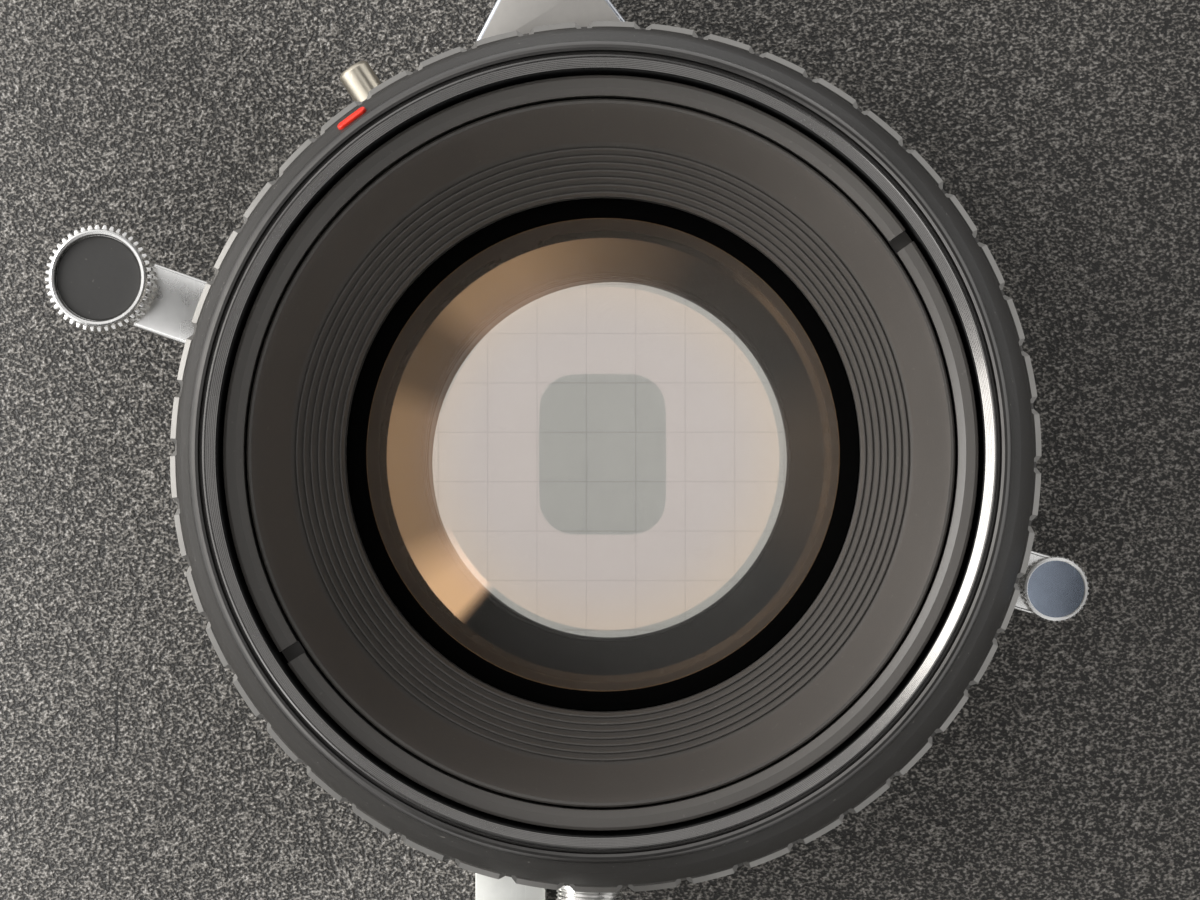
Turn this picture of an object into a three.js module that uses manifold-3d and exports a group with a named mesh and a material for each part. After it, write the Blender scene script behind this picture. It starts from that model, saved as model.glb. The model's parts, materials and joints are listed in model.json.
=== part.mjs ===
// A monorail view camera with a large lens in a leaf shutter.
// Units are millimetres. X is to the right, the lens points to -Y, Z is up.
// The origin is the centre of the underside of the tripod block.

import * as THREE from 'three';
import { mergeVertices } from 'three/addons/utils/BufferGeometryUtils.js';
import Module from 'manifold-3d';

const wasm = await Module();
wasm.setup();

// ---- driving dimensions ---------------------------------------------------

const GAP = 0.3;              // clearance between neighbouring pieces

// tripod block and rail
const BLOCK_LENGTH = 100;
const BLOCK_WIDTH = 90;
const BLOCK_FOOT = 8;         // thickness of the block's outer flanges
const BLOCK_FLOOR = 14;       // thickness under the rail
const CHEEK_WALL = 8;
const RAIL_WIDTH = 36;
const RAIL_HEIGHT = 30;
const RAIL_WALL = 3;
const RAIL_FRONT = 192;       // reach of the rail in front of the block's centre
const RAIL_REAR = 250;        // reach behind it
const GROOVE_DEPTH = 4;
const GROOVE_ROOT = 1.3;      // half height of the groove at its root
const CAP_THICKNESS = 4;

// standards
const FRONT_Y = -112;         // centre plane of the front standard
const REAR_Y = 163;           // centre plane of the rear standard
const CARRIAGE_LENGTH = 60;
const CARRIAGE_WALL = 9.7;
const CARRIAGE_ROOF = 13.4;
const TURNTABLE_RADIUS = 30;
const TURNTABLE_THICKNESS = 8;
const YOKE_DEPTH = 24;
const YOKE_BAR = 16;
const UPRIGHT_THICKNESS = 10;
const FRAME_SIZE = 190;
const FRAME_DEPTH = 18;
const FRAME_OPENING = 140;
const FRAME_TO_UPRIGHT = 6;
const RISE = 20;              // rise and fall each way
const TRUNNION_RADIUS = 5;
const PIVOT_HEIGHT = 30;
const PIVOT_TONGUE = 13.4;
const KNOB_RADIUS = 14;
const KNOB_LENGTH = 14;
const FOCUS_KNOB_RADIUS = 11;
const FOCUS_KNOB_LENGTH = 16;

// lens board
const BOARD_SIZE = 160;
const BOARD_THICKNESS = 3;
const BOARD_HOLE = 32.5;

// shutter, measured forward from the front face of the lens board
const HOUSING_RADIUS = 49.5;
const HOUSING_WALL = 3;
const HOUSING_FRONT = 12;
const HOUSING_FLOOR = 4;
const APERTURE_RADIUS = 22;
const MOUNT_THREAD_RADIUS = 31;
const MOUNT_THREAD_LENGTH = 12;
const CELL_THREAD_RADIUS = 27.6;
const COVER_THICKNESS = 4.7;
const BLADE_COUNT = 5;
const BLADE_THICKNESS = 0.4;
const BLADE_CLEARANCE = 2.5;  // between a resting blade and the cavity wall
const BLADE_OUTER = HOUSING_RADIUS - HOUSING_WALL - BLADE_CLEARANCE;
const BLADE_TAIL = 8;         // degrees of blade behind its pivot
const BLADE_REACH = 80;       // degrees of blade ahead of its pivot
const SPEED_RING_STAND = 1.5; // how far the ring stands out past the housing
const SPEED_RING_RADIUS = HOUSING_RADIUS + SPEED_RING_STAND;
const SPEED_RING_WIDTH = 7.7;
const SPEED_RING_LANDS = 46;
const SPEED_RING_VALLEY = 0.6;
const LEVER_PIVOT_RADIUS = 40;
const LEVER_THICKNESS = 4.1;
const APERTURE_RING_WALL = 1.4;
const APERTURE_RING_WIDTH = 3;

// cocking lever and release lever: polar angles seen from the front
const COCKING_ANGLE = 160.6;
const COCKING_SWING = 35;
const COCKING_STAND = 12.5;   // from the speed ring to the middle of the knob
const COCKING_REACH = SPEED_RING_RADIUS + COCKING_STAND;
const COCKING_ARM_WIDTH = 8;
const COCKING_KNOB_RADIUS = 6.45;
const COCKING_KNOB_LENGTH = 5.3;
const COCKING_DISC_RADIUS = 5.1;
const COCKING_DISC_THICKNESS = 0.9;
const RELEASE_ANGLE = -16.4;
const RELEASE_SWING = 15;
const RELEASE_ARM_WIDTH = 7.3;
const RELEASE_KNOB_RADIUS = 3.9;
const RELEASE_STAND = 0.35;   // between the speed ring and the knob
const RELEASE_REACH = SPEED_RING_RADIUS + RELEASE_KNOB_RADIUS + RELEASE_STAND;
const RELEASE_KNOB_LENGTH = 4;

// front barrel and what it holds
const BARREL_STAND = 0.4;     // how far the barrel's foot stands out past the housing
const BARREL_RADIUS = HOUSING_RADIUS + BARREL_STAND;
const BARREL_SHOULDER_RADIUS = 46.2;
const BARREL_LIP_RADIUS = 44.9;
const BARREL_FRONT = 57;
const HUB_RADIUS = 36;
const THREAD_MOUTH_RADIUS = 43.1;
const THREAD_ROOT_RADIUS = 42.2;
const BAFFLE_SEAT = 35;
const BAFFLE_RIM = 50;
const BAFFLE_RIM_RADIUS = 39.1;
const CONE_INNER_RADIUS = 34.7;
const CONE_INNER_DEPTH = 42;
const RIDGE_COUNT = 7;
const RIDGE_HEIGHT = 0.35;
const GLASS_MARGIN_RADIUS = 29.3;
const GLASS_MARGIN_DEPTH = 38;
const NAME_RING_RADIUS = 41.6;
const NAME_RING_FRONT = 51.4;
const FRONT_GLASS_RADIUS = 31.7;
const FRONT_GLASS_CURVE = 75;
const GLASS_LEDGE = 30;
const FRONT_TUBE_RADIUS = 28.6;

// rear cell and retaining ring
const REAR_TUBE_STEP = 2.2;   // how much wider the rear tube is than the aperture
const REAR_BARREL_RADIUS = 33;
const REAR_BARREL_END = 44;
const REAR_GLASS_RADIUS = 30.2;
const REAR_GLASS_CURVE = 80;
const RETAINING_RING_RADIUS = 39;
const RETAINING_RING_THICKNESS = 4;

// bellows and back
const BELLOWS_SIZE = 152;
const BELLOWS_FOLD_DEPTH = 9;
const BELLOWS_WALL = 1.2;
const BELLOWS_FOLDS = 20;
const BACK_SIZE = 152;
const BACK_DEPTH = 12;
const GLASS_WIDTH = 132;      // ground glass for the 4 x 5 inch format
const GLASS_HEIGHT = 108;
const GLASS_THICKNESS = 2;
const GLASS_LIP = 6;
const SPRING_WIDTH = 14;
const SPRING_THICKNESS = 1.5;

// ---- places worked out from them ------------------------------------------

const RAIL_BOTTOM = BLOCK_FLOOR + GAP;
const RAIL_MIDDLE = RAIL_BOTTOM + RAIL_HEIGHT / 2;
const RAIL_TOP = RAIL_BOTTOM + RAIL_HEIGHT;
const CARRIAGE_TOP = RAIL_TOP + GAP + CARRIAGE_ROOF;
const CARRIAGE_HALF = RAIL_WIDTH / 2 + GAP + CARRIAGE_WALL;
const TURNTABLE_BOTTOM = CARRIAGE_TOP + GAP;
const TURNTABLE_TOP = TURNTABLE_BOTTOM + TURNTABLE_THICKNESS;
const BAR_BOTTOM = TURNTABLE_TOP + GAP;
const BAR_TOP = BAR_BOTTOM + YOKE_BAR;
const AXIS_Z = BAR_TOP + FRAME_SIZE / 2 + RISE + 4;
const UPRIGHT_INNER = FRAME_SIZE / 2 + FRAME_TO_UPRIGHT;
const UPRIGHT_OUTER = UPRIGHT_INNER + UPRIGHT_THICKNESS;
const UPRIGHT_TOP = AXIS_Z + RISE + PIVOT_HEIGHT / 2 + 10;
const TRUNNION_END = UPRIGHT_OUTER + 1;
const KNOB_START = TRUNNION_END + GAP;
const COVER_BACK = HOUSING_FRONT + GAP;
const COVER_FRONT = COVER_BACK + COVER_THICKNESS;
const RING_BACK = COVER_FRONT + GAP;
const RING_FRONT = RING_BACK + SPEED_RING_WIDTH;
const BARREL_BACK = RING_FRONT + GAP;
const LEVER_BACK = COVER_BACK + GAP;
const LEVER_FRONT = LEVER_BACK + LEVER_THICKNESS;

// ---- materials ------------------------------------------------------------

function finish(color, roughness, metalness) {
  return new THREE.MeshStandardMaterial({ color, roughness, metalness });
}

const crinklePaint = () => finish(0x45423e, 0.75, 0.0);
const blackAnodised = () => finish(0x2c2926, 0.45, 0.6);
const satinBlack = () => finish(0x1d1b1a, 0.5, 0.2);
const polishedChrome = () => finish(0xc9c9c6, 0.12, 1.0);
const satinChrome = () => finish(0xa39f97, 0.35, 1.0);
const wornNickel = () => finish(0xb5a890, 0.4, 1.0);
const paleAluminium = () => finish(0xd6d6cf, 0.5, 0.4);
const bladeSteel = () => finish(0x2b2b2d, 0.4, 0.8);
const coatedGlass = () => finish(0xc79a63, 0.05, 0.0);
const clearGlass = () => finish(0xd5dcd8, 0.05, 0.0);
const groundGlass = () => finish(0xdadcd6, 0.6, 0.0);
const bellowsCloth = () => finish(0x1a1918, 0.85, 0.0);
const knobPlastic = () => finish(0x171717, 0.4, 0.0);
const springSteel = () => finish(0x8d8d8a, 0.3, 1.0);

// ---- helpers --------------------------------------------------------------

// Shared corners merged, empty triangles dropped and faces turned outwards.
function closed(geometry) {
  const bare = geometry.clone();
  bare.deleteAttribute('normal');
  bare.deleteAttribute('uv');
  const merged = mergeVertices(bare, 1e-4);
  const place = merged.getAttribute('position');
  const corner = (i) => new THREE.Vector3().fromBufferAttribute(place, i);
  const index = merged.getIndex().array;
  const kept = [];
  let volume = 0;
  for (let i = 0; i < index.length; i += 3) {
    const [a, b, c] = index.slice(i, i + 3);
    if (a === b || b === c || c === a) continue;
    kept.push([a, b, c]);
    volume += corner(a).dot(corner(b).cross(corner(c)));
  }
  if (volume < 0) kept.forEach((triangle) => triangle.reverse());
  merged.setIndex(kept.flat());
  return merged;
}

function toManifold(geometry) {
  const shape = closed(geometry);
  return new wasm.Manifold(new wasm.Mesh({
    numProp: 3,
    vertProperties: new Float32Array(shape.getAttribute('position').array),
    triVerts: new Uint32Array(shape.getIndex().array),
  }));
}

function fromManifold(manifold) {
  const mesh = manifold.getMesh();
  const geometry = new THREE.BufferGeometry();
  geometry.setAttribute('position', new THREE.BufferAttribute(mesh.vertProperties, 3));
  geometry.setIndex(Array.from(mesh.triVerts));
  return geometry;
}

function join(first, ...others) {
  return fromManifold(others.reduce((sum, other) => sum.add(toManifold(other)), toManifold(first)));
}

function cut(first, ...others) {
  return fromManifold(others.reduce((rest, other) => rest.subtract(toManifold(other)), toManifold(first)));
}

// A solid of revolution about Z from [radius, height] points.
function turned(points, sides = 36) {
  const first = points[0];
  const last = points[points.length - 1];
  const loop = first[0] === 0 && last[0] === 0 ? points : [...points, first];
  const profile = loop.map(([radius, height]) => new THREE.Vector2(radius, height));
  return new THREE.LatheGeometry(profile, sides).rotateX(Math.PI / 2);
}

// Points along a spherical surface, from the axis out to the rim or back.
function dome(curve, rim, crown, steps = 5) {
  const points = [];
  for (let i = 0; i <= steps; i += 1) {
    const radius = (rim * i) / steps;
    const sag = Math.abs(curve) - Math.sqrt(curve * curve - radius * radius);
    points.push([radius, crown - Math.sign(curve) * sag]);
  }
  return points;
}

function block([x0, x1], [y0, y1], [z0, z1]) {
  const geometry = new THREE.BoxGeometry(x1 - x0, y1 - y0, z1 - z0);
  return geometry.translate((x0 + x1) / 2, (y0 + y1) / 2, (z0 + z1) / 2);
}

function plate(shape, z0, z1, curveSegments = 8) {
  const options = { depth: z1 - z0, bevelEnabled: false, curveSegments };
  return new THREE.ExtrudeGeometry(shape, options).translate(0, 0, z0);
}

// A rectangle about the origin whose corners are arcs of a few short sides.
function roundedRectangle(width, height, radius, Kind = THREE.Shape) {
  const corners = [[1, -1, -90], [1, 1, 0], [-1, 1, 90], [-1, -1, 180]];
  const steps = 3;
  const points = [];
  for (const [x, y, start] of corners) {
    for (let i = 0; i <= steps; i += 1) {
      const [dx, dy] = polar(radius, start + (90 * i) / steps);
      points.push(new THREE.Vector2(x * (width / 2 - radius) + dx, y * (height / 2 - radius) + dy));
    }
  }
  return new Kind(points);
}

function polygon(points) {
  return new THREE.Shape(points.map(([x, y]) => new THREE.Vector2(x, y)));
}

function circleHole(radius, x = 0, y = 0) {
  const hole = new THREE.Path();
  hole.absarc(x, y, radius, 0, Math.PI * 2, true);
  return hole;
}

const radians = THREE.MathUtils.degToRad;

function polar(radius, degrees) {
  return [radius * Math.cos(radians(degrees)), radius * Math.sin(radians(degrees))];
}

// A turned piece laid along X, starting at x and pointing to `side` (+1 or -1).
function alongX(geometry, side, x, y = 0, z = 0) {
  return geometry.rotateY((side * Math.PI) / 2).translate(side * x, y, z);
}

function addMesh(parent, name, geometry, material) {
  const mesh = new THREE.Mesh(closed(geometry), material);
  mesh.name = name;
  parent.add(mesh);
  return mesh;
}

// ---- groups ---------------------------------------------------------------

const viewCamera = new THREE.Group();
viewCamera.name = 'view_camera';

// Inside these groups X is right, Y is up from the lens axis, Z is forward.
function facingForward(y) {
  const group = new THREE.Group();
  group.position.set(0, y, AXIS_Z);
  group.rotation.x = Math.PI / 2;
  viewCamera.add(group);
  return group;
}

const lensGroup = facingForward(FRONT_Y - FRAME_DEPTH / 2);
const frontGroup = facingForward(FRONT_Y);
const rearGroup = facingForward(REAR_Y);

// ---- tripod block and rail -------------------------------------------------

// One side of the grip on the rail's groove, from its outer wall inwards.
// `up` is +1 for a jaw above the groove's middle and -1 for one below it.
function jaw(side, up) {
  const clear = RAIL_WIDTH / 2 + GAP;
  const slope = GROOVE_DEPTH + GROOVE_ROOT;
  const nose = RAIL_WIDTH / 2 - GROOVE_DEPTH + 0.8;
  const level = (height) => RAIL_MIDDLE + up * height;
  return [
    [side * nose, level(0.5)],
    [side * nose, level(slope - (clear - nose) - GAP / 2)],
    [side * clear, level(slope - GAP / 2)],
  ];
}

function tripodBlock() {
  const half = BLOCK_WIDTH / 2;
  const cheek = RAIL_WIDTH / 2 + GAP + CHEEK_WALL;
  const top = RAIL_MIDDLE - 0.5;
  const outline = polygon([
    [-half, 0],
    [half, 0],
    [half, BLOCK_FOOT],
    [cheek, BLOCK_FOOT],
    [cheek, top],
    ...jaw(1, -1),
    [RAIL_WIDTH / 2 + GAP, BLOCK_FLOOR],
    [-RAIL_WIDTH / 2 - GAP, BLOCK_FLOOR],
    ...jaw(-1, -1).reverse(),
    [-cheek, top],
    [-cheek, BLOCK_FOOT],
    [-half, BLOCK_FOOT],
  ]);
  return plate(outline, -BLOCK_LENGTH / 2, BLOCK_LENGTH / 2).rotateX(Math.PI / 2);
}

function railOutline() {
  const half = RAIL_WIDTH / 2;
  const root = half - GROOVE_DEPTH;
  const mouth = GROOVE_DEPTH + GROOVE_ROOT;
  const side = (x) => [
    [x * half, RAIL_BOTTOM],
    [x * half, RAIL_MIDDLE - mouth],
    [x * root, RAIL_MIDDLE - GROOVE_ROOT],
    [x * root, RAIL_MIDDLE + GROOVE_ROOT],
    [x * half, RAIL_MIDDLE + mouth],
    [x * half, RAIL_TOP],
  ];
  return polygon([...side(1), ...side(-1).reverse()]);
}

// The bore is an upright slot that stays clear of the grooves.
function railBore(Kind, clearance) {
  const x = RAIL_WIDTH / 2 - GROOVE_DEPTH - RAIL_WALL - clearance;
  const y = RAIL_HEIGHT / 2 - RAIL_WALL - clearance;
  const outline = new Kind();
  outline.moveTo(-x, RAIL_MIDDLE - y);
  outline.lineTo(x, RAIL_MIDDLE - y);
  outline.lineTo(x, RAIL_MIDDLE + y);
  outline.lineTo(-x, RAIL_MIDDLE + y);
  outline.closePath();
  return outline;
}

function rail() {
  const outline = railOutline();
  outline.holes.push(railBore(THREE.Path, 0));
  return plate(outline, -RAIL_REAR, RAIL_FRONT).rotateX(Math.PI / 2);
}

// A cap closes an end of the rail and has a plug in its bore.
function railCap(front) {
  const side = front ? 1 : -1;
  const end = front ? RAIL_FRONT : -RAIL_REAR;
  const span = (near, far) => [end + side * near, end + side * far].sort((a, b) => a - b);
  const face = plate(railOutline(), ...span(GAP, GAP + CAP_THICKNESS));
  const plug = plate(railBore(THREE.Shape, GAP), ...span(-10, GAP + 1));
  return join(face, plug).rotateX(Math.PI / 2);
}

addMesh(viewCamera, 'tripod_block', tripodBlock(), satinBlack());
addMesh(viewCamera, 'rail', rail(), satinChrome());
addMesh(viewCamera, 'rail_cap_front', railCap(true), knobPlastic());
addMesh(viewCamera, 'rail_cap_rear', railCap(false), knobPlastic());

// ---- knobs ----------------------------------------------------------------

// A fluted grip on a plain neck, turned about Z and starting at z = 0.
function knob(radius, length, flutes = 8) {
  const neck = length * 0.25;
  const steps = flutes * 3;
  const grip = [];
  for (let i = 0; i < steps; i += 1) {
    grip.push(polar(i % 3 === 0 ? radius * 0.9 : radius, (i * 360) / steps));
  }
  const collar = turned([[0, 0], [radius * 0.6, 0], [radius * 0.6, neck + 0.5], [0, neck + 0.5]], 16);
  return join(plate(polygon(grip), neck, length), collar);
}

const cheekFace = RAIL_WIDTH / 2 + GAP + CHEEK_WALL;
const clampKnobRadius = (RAIL_MIDDLE - BLOCK_FOOT) / 2 - 1.5;
const clampKnob = alongX(knob(clampKnobRadius, 15), 1, cheekFace + GAP, 0, BLOCK_FOOT + clampKnobRadius + 1);
addMesh(viewCamera, 'rail_clamp_knob', clampKnob, knobPlastic());

// ---- carriages, turntables and yokes ---------------------------------------

function carriage() {
  const chamfer = 4;
  const outline = polygon([
    [-CARRIAGE_HALF, RAIL_MIDDLE + 0.5],
    ...jaw(-1, 1),
    [-RAIL_WIDTH / 2 - GAP, RAIL_TOP + GAP],
    [RAIL_WIDTH / 2 + GAP, RAIL_TOP + GAP],
    ...jaw(1, 1).reverse(),
    [CARRIAGE_HALF, RAIL_MIDDLE + 0.5],
    [CARRIAGE_HALF, CARRIAGE_TOP - chamfer],
    [CARRIAGE_HALF - chamfer, CARRIAGE_TOP],
    [-CARRIAGE_HALF + chamfer, CARRIAGE_TOP],
    [-CARRIAGE_HALF, CARRIAGE_TOP - chamfer],
  ]);
  return plate(outline, -CARRIAGE_LENGTH / 2, CARRIAGE_LENGTH / 2).rotateX(Math.PI / 2);
}

function turntable() {
  const radius = TURNTABLE_RADIUS;
  const channel = YOKE_DEPTH / 2 + GAP;
  const wall = 5;
  const height = YOKE_BAR / 2;
  const disc = turned([
    [0, TURNTABLE_BOTTOM],
    [radius, TURNTABLE_BOTTOM],
    [radius, TURNTABLE_TOP - 1],
    [radius - 1, TURNTABLE_TOP],
    [0, TURNTABLE_TOP],
  ]);
  const reach = [-radius + wall, radius - wall];
  const low = [TURNTABLE_TOP - 1, TURNTABLE_TOP + height];
  const front = block(reach, [-channel - wall, -channel], low);
  const back = block(reach, [channel, channel + wall], low);
  return join(disc, front, back);
}

// A cross bar with two uprights. `holes` are cut through the uprights along X.
function yoke(holes) {
  const outline = polygon([
    [-UPRIGHT_OUTER, BAR_BOTTOM],
    [UPRIGHT_OUTER, BAR_BOTTOM],
    [UPRIGHT_OUTER, UPRIGHT_TOP],
    [UPRIGHT_INNER, UPRIGHT_TOP],
    [UPRIGHT_INNER, BAR_TOP],
    [-UPRIGHT_INNER, BAR_TOP],
    [-UPRIGHT_INNER, UPRIGHT_TOP],
    [-UPRIGHT_OUTER, UPRIGHT_TOP],
  ]);
  const bar = plate(outline, -YOKE_DEPTH / 2, YOKE_DEPTH / 2).rotateX(Math.PI / 2);
  return cut(bar, ...holes);
}

function riseSlot(side) {
  const reach = [side * (UPRIGHT_INNER - 1), side * (UPRIGHT_OUTER + 1)].sort((a, b) => a - b);
  const half = PIVOT_TONGUE / 2 + GAP;
  const travel = RISE + PIVOT_HEIGHT / 2 - 3 + GAP;
  return block(reach, [-half, half], [AXIS_Z - travel, AXIS_Z + travel]);
}

function trunnion(side, radius, from, to) {
  return alongX(turned([[0, 0], [radius, 0], [radius, to - from], [0, to - from]], 16), side, from);
}

function trunnionHole(side) {
  return trunnion(side, TRUNNION_RADIUS + GAP, UPRIGHT_INNER - 8, UPRIGHT_OUTER + 8).translate(0, 0, AXIS_Z);
}

function focusKnob() {
  const middle = (RAIL_TOP + RAIL_MIDDLE) / 2 + 7;
  return alongX(knob(FOCUS_KNOB_RADIUS, FOCUS_KNOB_LENGTH), 1, CARRIAGE_HALF + GAP, 0, middle);
}

const standards = [
  { end: 'front', y: FRONT_Y, hole: riseSlot },
  { end: 'rear', y: REAR_Y, hole: trunnionHole },
];

for (const { end, y, hole } of standards) {
  const holes = [hole(-1), hole(1)];
  addMesh(viewCamera, `${end}_carriage`, carriage().translate(0, y, 0), satinBlack());
  addMesh(viewCamera, `${end}_focus_knob`, focusKnob().translate(0, y, 0), knobPlastic());
  addMesh(viewCamera, `${end}_turntable`, turntable().translate(0, y, 0), satinChrome());
  addMesh(viewCamera, `${end}_yoke`, yoke(holes).translate(0, y, 0), satinBlack());
}

// ---- frames ----------------------------------------------------------------

// Centred on the tilt axis, with a trunnion on each side.
function standardFrame() {
  const outline = roundedRectangle(FRAME_SIZE, FRAME_SIZE, 6);
  outline.holes.push(roundedRectangle(FRAME_OPENING, FRAME_OPENING, 3, THREE.Path));
  const ring = plate(outline, -FRAME_DEPTH / 2, FRAME_DEPTH / 2, 4);
  const root = FRAME_SIZE / 2 - 1;
  const left = trunnion(-1, TRUNNION_RADIUS, root, TRUNNION_END);
  const right = trunnion(1, TRUNNION_RADIUS, root, TRUNNION_END);
  return join(ring, left, right);
}

// The front frame has a recess for the board and a lip over its lower edge.
function frontFrame() {
  const front = FRAME_DEPTH / 2;
  const half = BOARD_SIZE / 2 + GAP;
  const recess = block([-half, half], [-half, half], [front - BOARD_THICKNESS - GAP, front + 1]);
  const lipFoot = block([-60, 60], [-half - 5, -half], [front - 2, front + GAP + 2.2]);
  const lipEdge = block([-60, 60], [-half - 1, -half + 4], [front + GAP, front + GAP + 2.2]);
  return join(cut(standardFrame(), recess), lipFoot, lipEdge);
}

// It slides in the slot of an upright, and the frame turns in it.
function pivotBlock(side) {
  const near = FRAME_SIZE / 2 + GAP;
  const half = PIVOT_HEIGHT / 2;
  const reach = (from, to) => [side * from, side * to].sort((a, b) => a - b);
  const face = block(reach(near, UPRIGHT_INNER - GAP), [-half, half], [-YOKE_DEPTH / 2, YOKE_DEPTH / 2]);
  const tongueHalf = half - 3;
  const tongueReach = reach(UPRIGHT_INNER - 1, UPRIGHT_OUTER + 0.7);
  const tongue = block(tongueReach, [-tongueHalf, tongueHalf], [-PIVOT_TONGUE / 2, PIVOT_TONGUE / 2]);
  return cut(join(face, tongue), trunnion(side, TRUNNION_RADIUS + GAP, near - 5, UPRIGHT_OUTER + 5));
}

function boardLatch() {
  const back = FRAME_DEPTH / 2 + GAP;
  const low = BOARD_SIZE / 2 - 5;
  const bar = block([-25, 25], [low, low + 17], [back, back + 3]);
  const foot = back + 2;
  const top = back + 7.6;
  const button = turned([[0, foot], [4, foot], [4, top - 0.6], [3.4, top], [0, top]], 16);
  return join(bar, button.translate(0, low + 11, 0));
}

const SIDES = [['left', -1], ['right', 1]];

addMesh(frontGroup, 'front_frame', frontFrame(), satinBlack());
addMesh(frontGroup, 'board_latch', boardLatch(), satinChrome());
addMesh(rearGroup, 'rear_frame', standardFrame(), satinBlack());

for (const [name, side] of SIDES) {
  addMesh(frontGroup, `front_pivot_${name}`, pivotBlock(side), satinChrome());
  for (const [end, group] of [['front', frontGroup], ['rear', rearGroup]]) {
    const grip = alongX(knob(KNOB_RADIUS, KNOB_LENGTH), side, KNOB_START);
    addMesh(group, `${end}_tilt_knob_${name}`, grip, knobPlastic());
  }
}

// ---- lens board and shutter --------------------------------------------------

function lensBoard() {
  const outline = roundedRectangle(BOARD_SIZE, BOARD_SIZE, 3);
  outline.holes.push(circleHole(BOARD_HOLE));
  return plate(outline, -BOARD_THICKNESS, 0, 16);
}

// A cup that holds the blades, with a threaded tube through the board.
function shutterHousing() {
  const cavity = HOUSING_RADIUS - HOUSING_WALL;
  return turned([
    [HOUSING_RADIUS, GAP],
    [HOUSING_RADIUS, HOUSING_FRONT],
    [cavity, HOUSING_FRONT],
    [cavity, HOUSING_FLOOR],
    [APERTURE_RADIUS, HOUSING_FLOOR],
    [APERTURE_RADIUS, -1],
    [CELL_THREAD_RADIUS, -1],
    [CELL_THREAD_RADIUS, -MOUNT_THREAD_LENGTH],
    [MOUNT_THREAD_RADIUS, -MOUNT_THREAD_LENGTH],
    [MOUNT_THREAD_RADIUS, GAP],
  ], 40);
}

// A radial arm with a round root that turns about the lever's pivot.
function leverArm(angle, reach, width, back, front, turn = 0) {
  const length = reach - LEVER_PIVOT_RADIUS;
  const half = width / 2;
  const outline = new THREE.Shape();
  outline.absarc(0, 0, half, Math.PI / 2, Math.PI * 1.5);
  outline.lineTo(length, -half);
  outline.absarc(length, 0, half, -Math.PI / 2, Math.PI / 2);
  outline.closePath();
  const [x, y] = polar(LEVER_PIVOT_RADIUS, angle);
  return plate(outline, back, front, 4).rotateZ(radians(angle + turn)).translate(x, y, 0);
}

// The space that a lever sweeps, a little larger than the lever all round.
function leverPocket(angle, swing, width) {
  const steps = 2;
  const sweep = [];
  for (let i = 0; i <= steps; i += 1) {
    const turn = (swing * i) / steps;
    sweep.push(leverArm(angle, LEVER_PIVOT_RADIUS + 30, width + 1, COVER_BACK - 1, COVER_FRONT + 1, turn));
  }
  return sweep;
}

function shutterCover() {
  const rim = HOUSING_RADIUS - GAP;
  const disc = turned([
    [APERTURE_RADIUS, COVER_BACK],
    [rim, COVER_BACK],
    [rim, COVER_FRONT],
    [APERTURE_RADIUS, COVER_FRONT],
  ], 40);
  const cocking = leverPocket(COCKING_ANGLE, -COCKING_SWING, COCKING_ARM_WIDTH);
  const release = leverPocket(RELEASE_ANGLE, -RELEASE_SWING, RELEASE_ARM_WIDTH);
  return cut(disc, ...cocking, ...release);
}

// Raised housing on top of the shutter, narrowing upwards.
const HUMP_RISE = 7.5;
const HUMP_TOP = HOUSING_RADIUS + HUMP_RISE;
const HUMP_LEFT = 110;        // polar angles of its lower corners
const HUMP_RIGHT = 85.2;
const HUMP_TOP_LEFT = -11.8;
const HUMP_TOP_RIGHT = -1.4;

function topPlate() {
  const outline = new THREE.Shape();
  const inner = HOUSING_RADIUS + GAP;
  outline.moveTo(HUMP_TOP_RIGHT, HUMP_TOP);
  outline.lineTo(HUMP_TOP_LEFT, HUMP_TOP);
  outline.lineTo(...polar(inner, HUMP_LEFT));
  outline.absarc(0, 0, inner, radians(HUMP_LEFT), radians(HUMP_RIGHT), true);
  outline.closePath();
  const back = GAP + 1 + APERTURE_RING_WIDTH + 1;
  return plate(outline, back, COVER_FRONT, 8);
}

function pressFocusSlider() {
  const left = HUMP_TOP_LEFT + 0.5;
  const middle = COVER_FRONT / 2 + 3;
  const foot = block([left, left + 3.5], [HUMP_TOP + GAP, HUMP_TOP + 2], [middle - 3, middle + 3]);
  const grip = block([left + 0.8, left + 2.7], [HUMP_TOP + 1.5, HUMP_TOP + 4.5], [middle - 2, middle + 2]);
  return join(foot, grip);
}

// A blade lies outside the aperture at rest and swings in about its pivot.
function blade(index, back) {
  const inner = APERTURE_RADIUS + 0.1;
  const outline = new THREE.Shape();
  outline.absarc(0, 0, BLADE_OUTER, radians(-BLADE_TAIL), radians(BLADE_REACH));
  outline.absarc(0, 0, inner, radians(BLADE_REACH), radians(-BLADE_TAIL), true);
  outline.closePath();
  const turn = (index * Math.PI * 2) / BLADE_COUNT;
  return plate(outline, back, back + BLADE_THICKNESS, 5).rotateZ(turn);
}

function speedRing() {
  const corners = [];
  const pitch = 360 / SPEED_RING_LANDS;
  for (let i = 0; i < SPEED_RING_LANDS; i += 1) {
    const start = i * pitch;
    const valley = SPEED_RING_RADIUS - SPEED_RING_VALLEY;
    corners.push(
      polar(SPEED_RING_RADIUS, start),
      polar(SPEED_RING_RADIUS, start + pitch * 0.66),
      polar(valley, start + pitch * 0.76),
      polar(valley, start + pitch * 0.9),
    );
  }
  const outline = polygon(corners);
  outline.holes.push(circleHole(HUB_RADIUS + GAP));
  return plate(outline, RING_BACK, RING_FRONT, 20);
}

// A ring round the housing with a tab that hangs down from it.
const TAB_LEFT = -16.2;
const TAB_RIGHT = -7.6;
const TAB_LENGTH = 14.2;
const TAB_END = -HOUSING_RADIUS - GAP - TAB_LENGTH;

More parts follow.
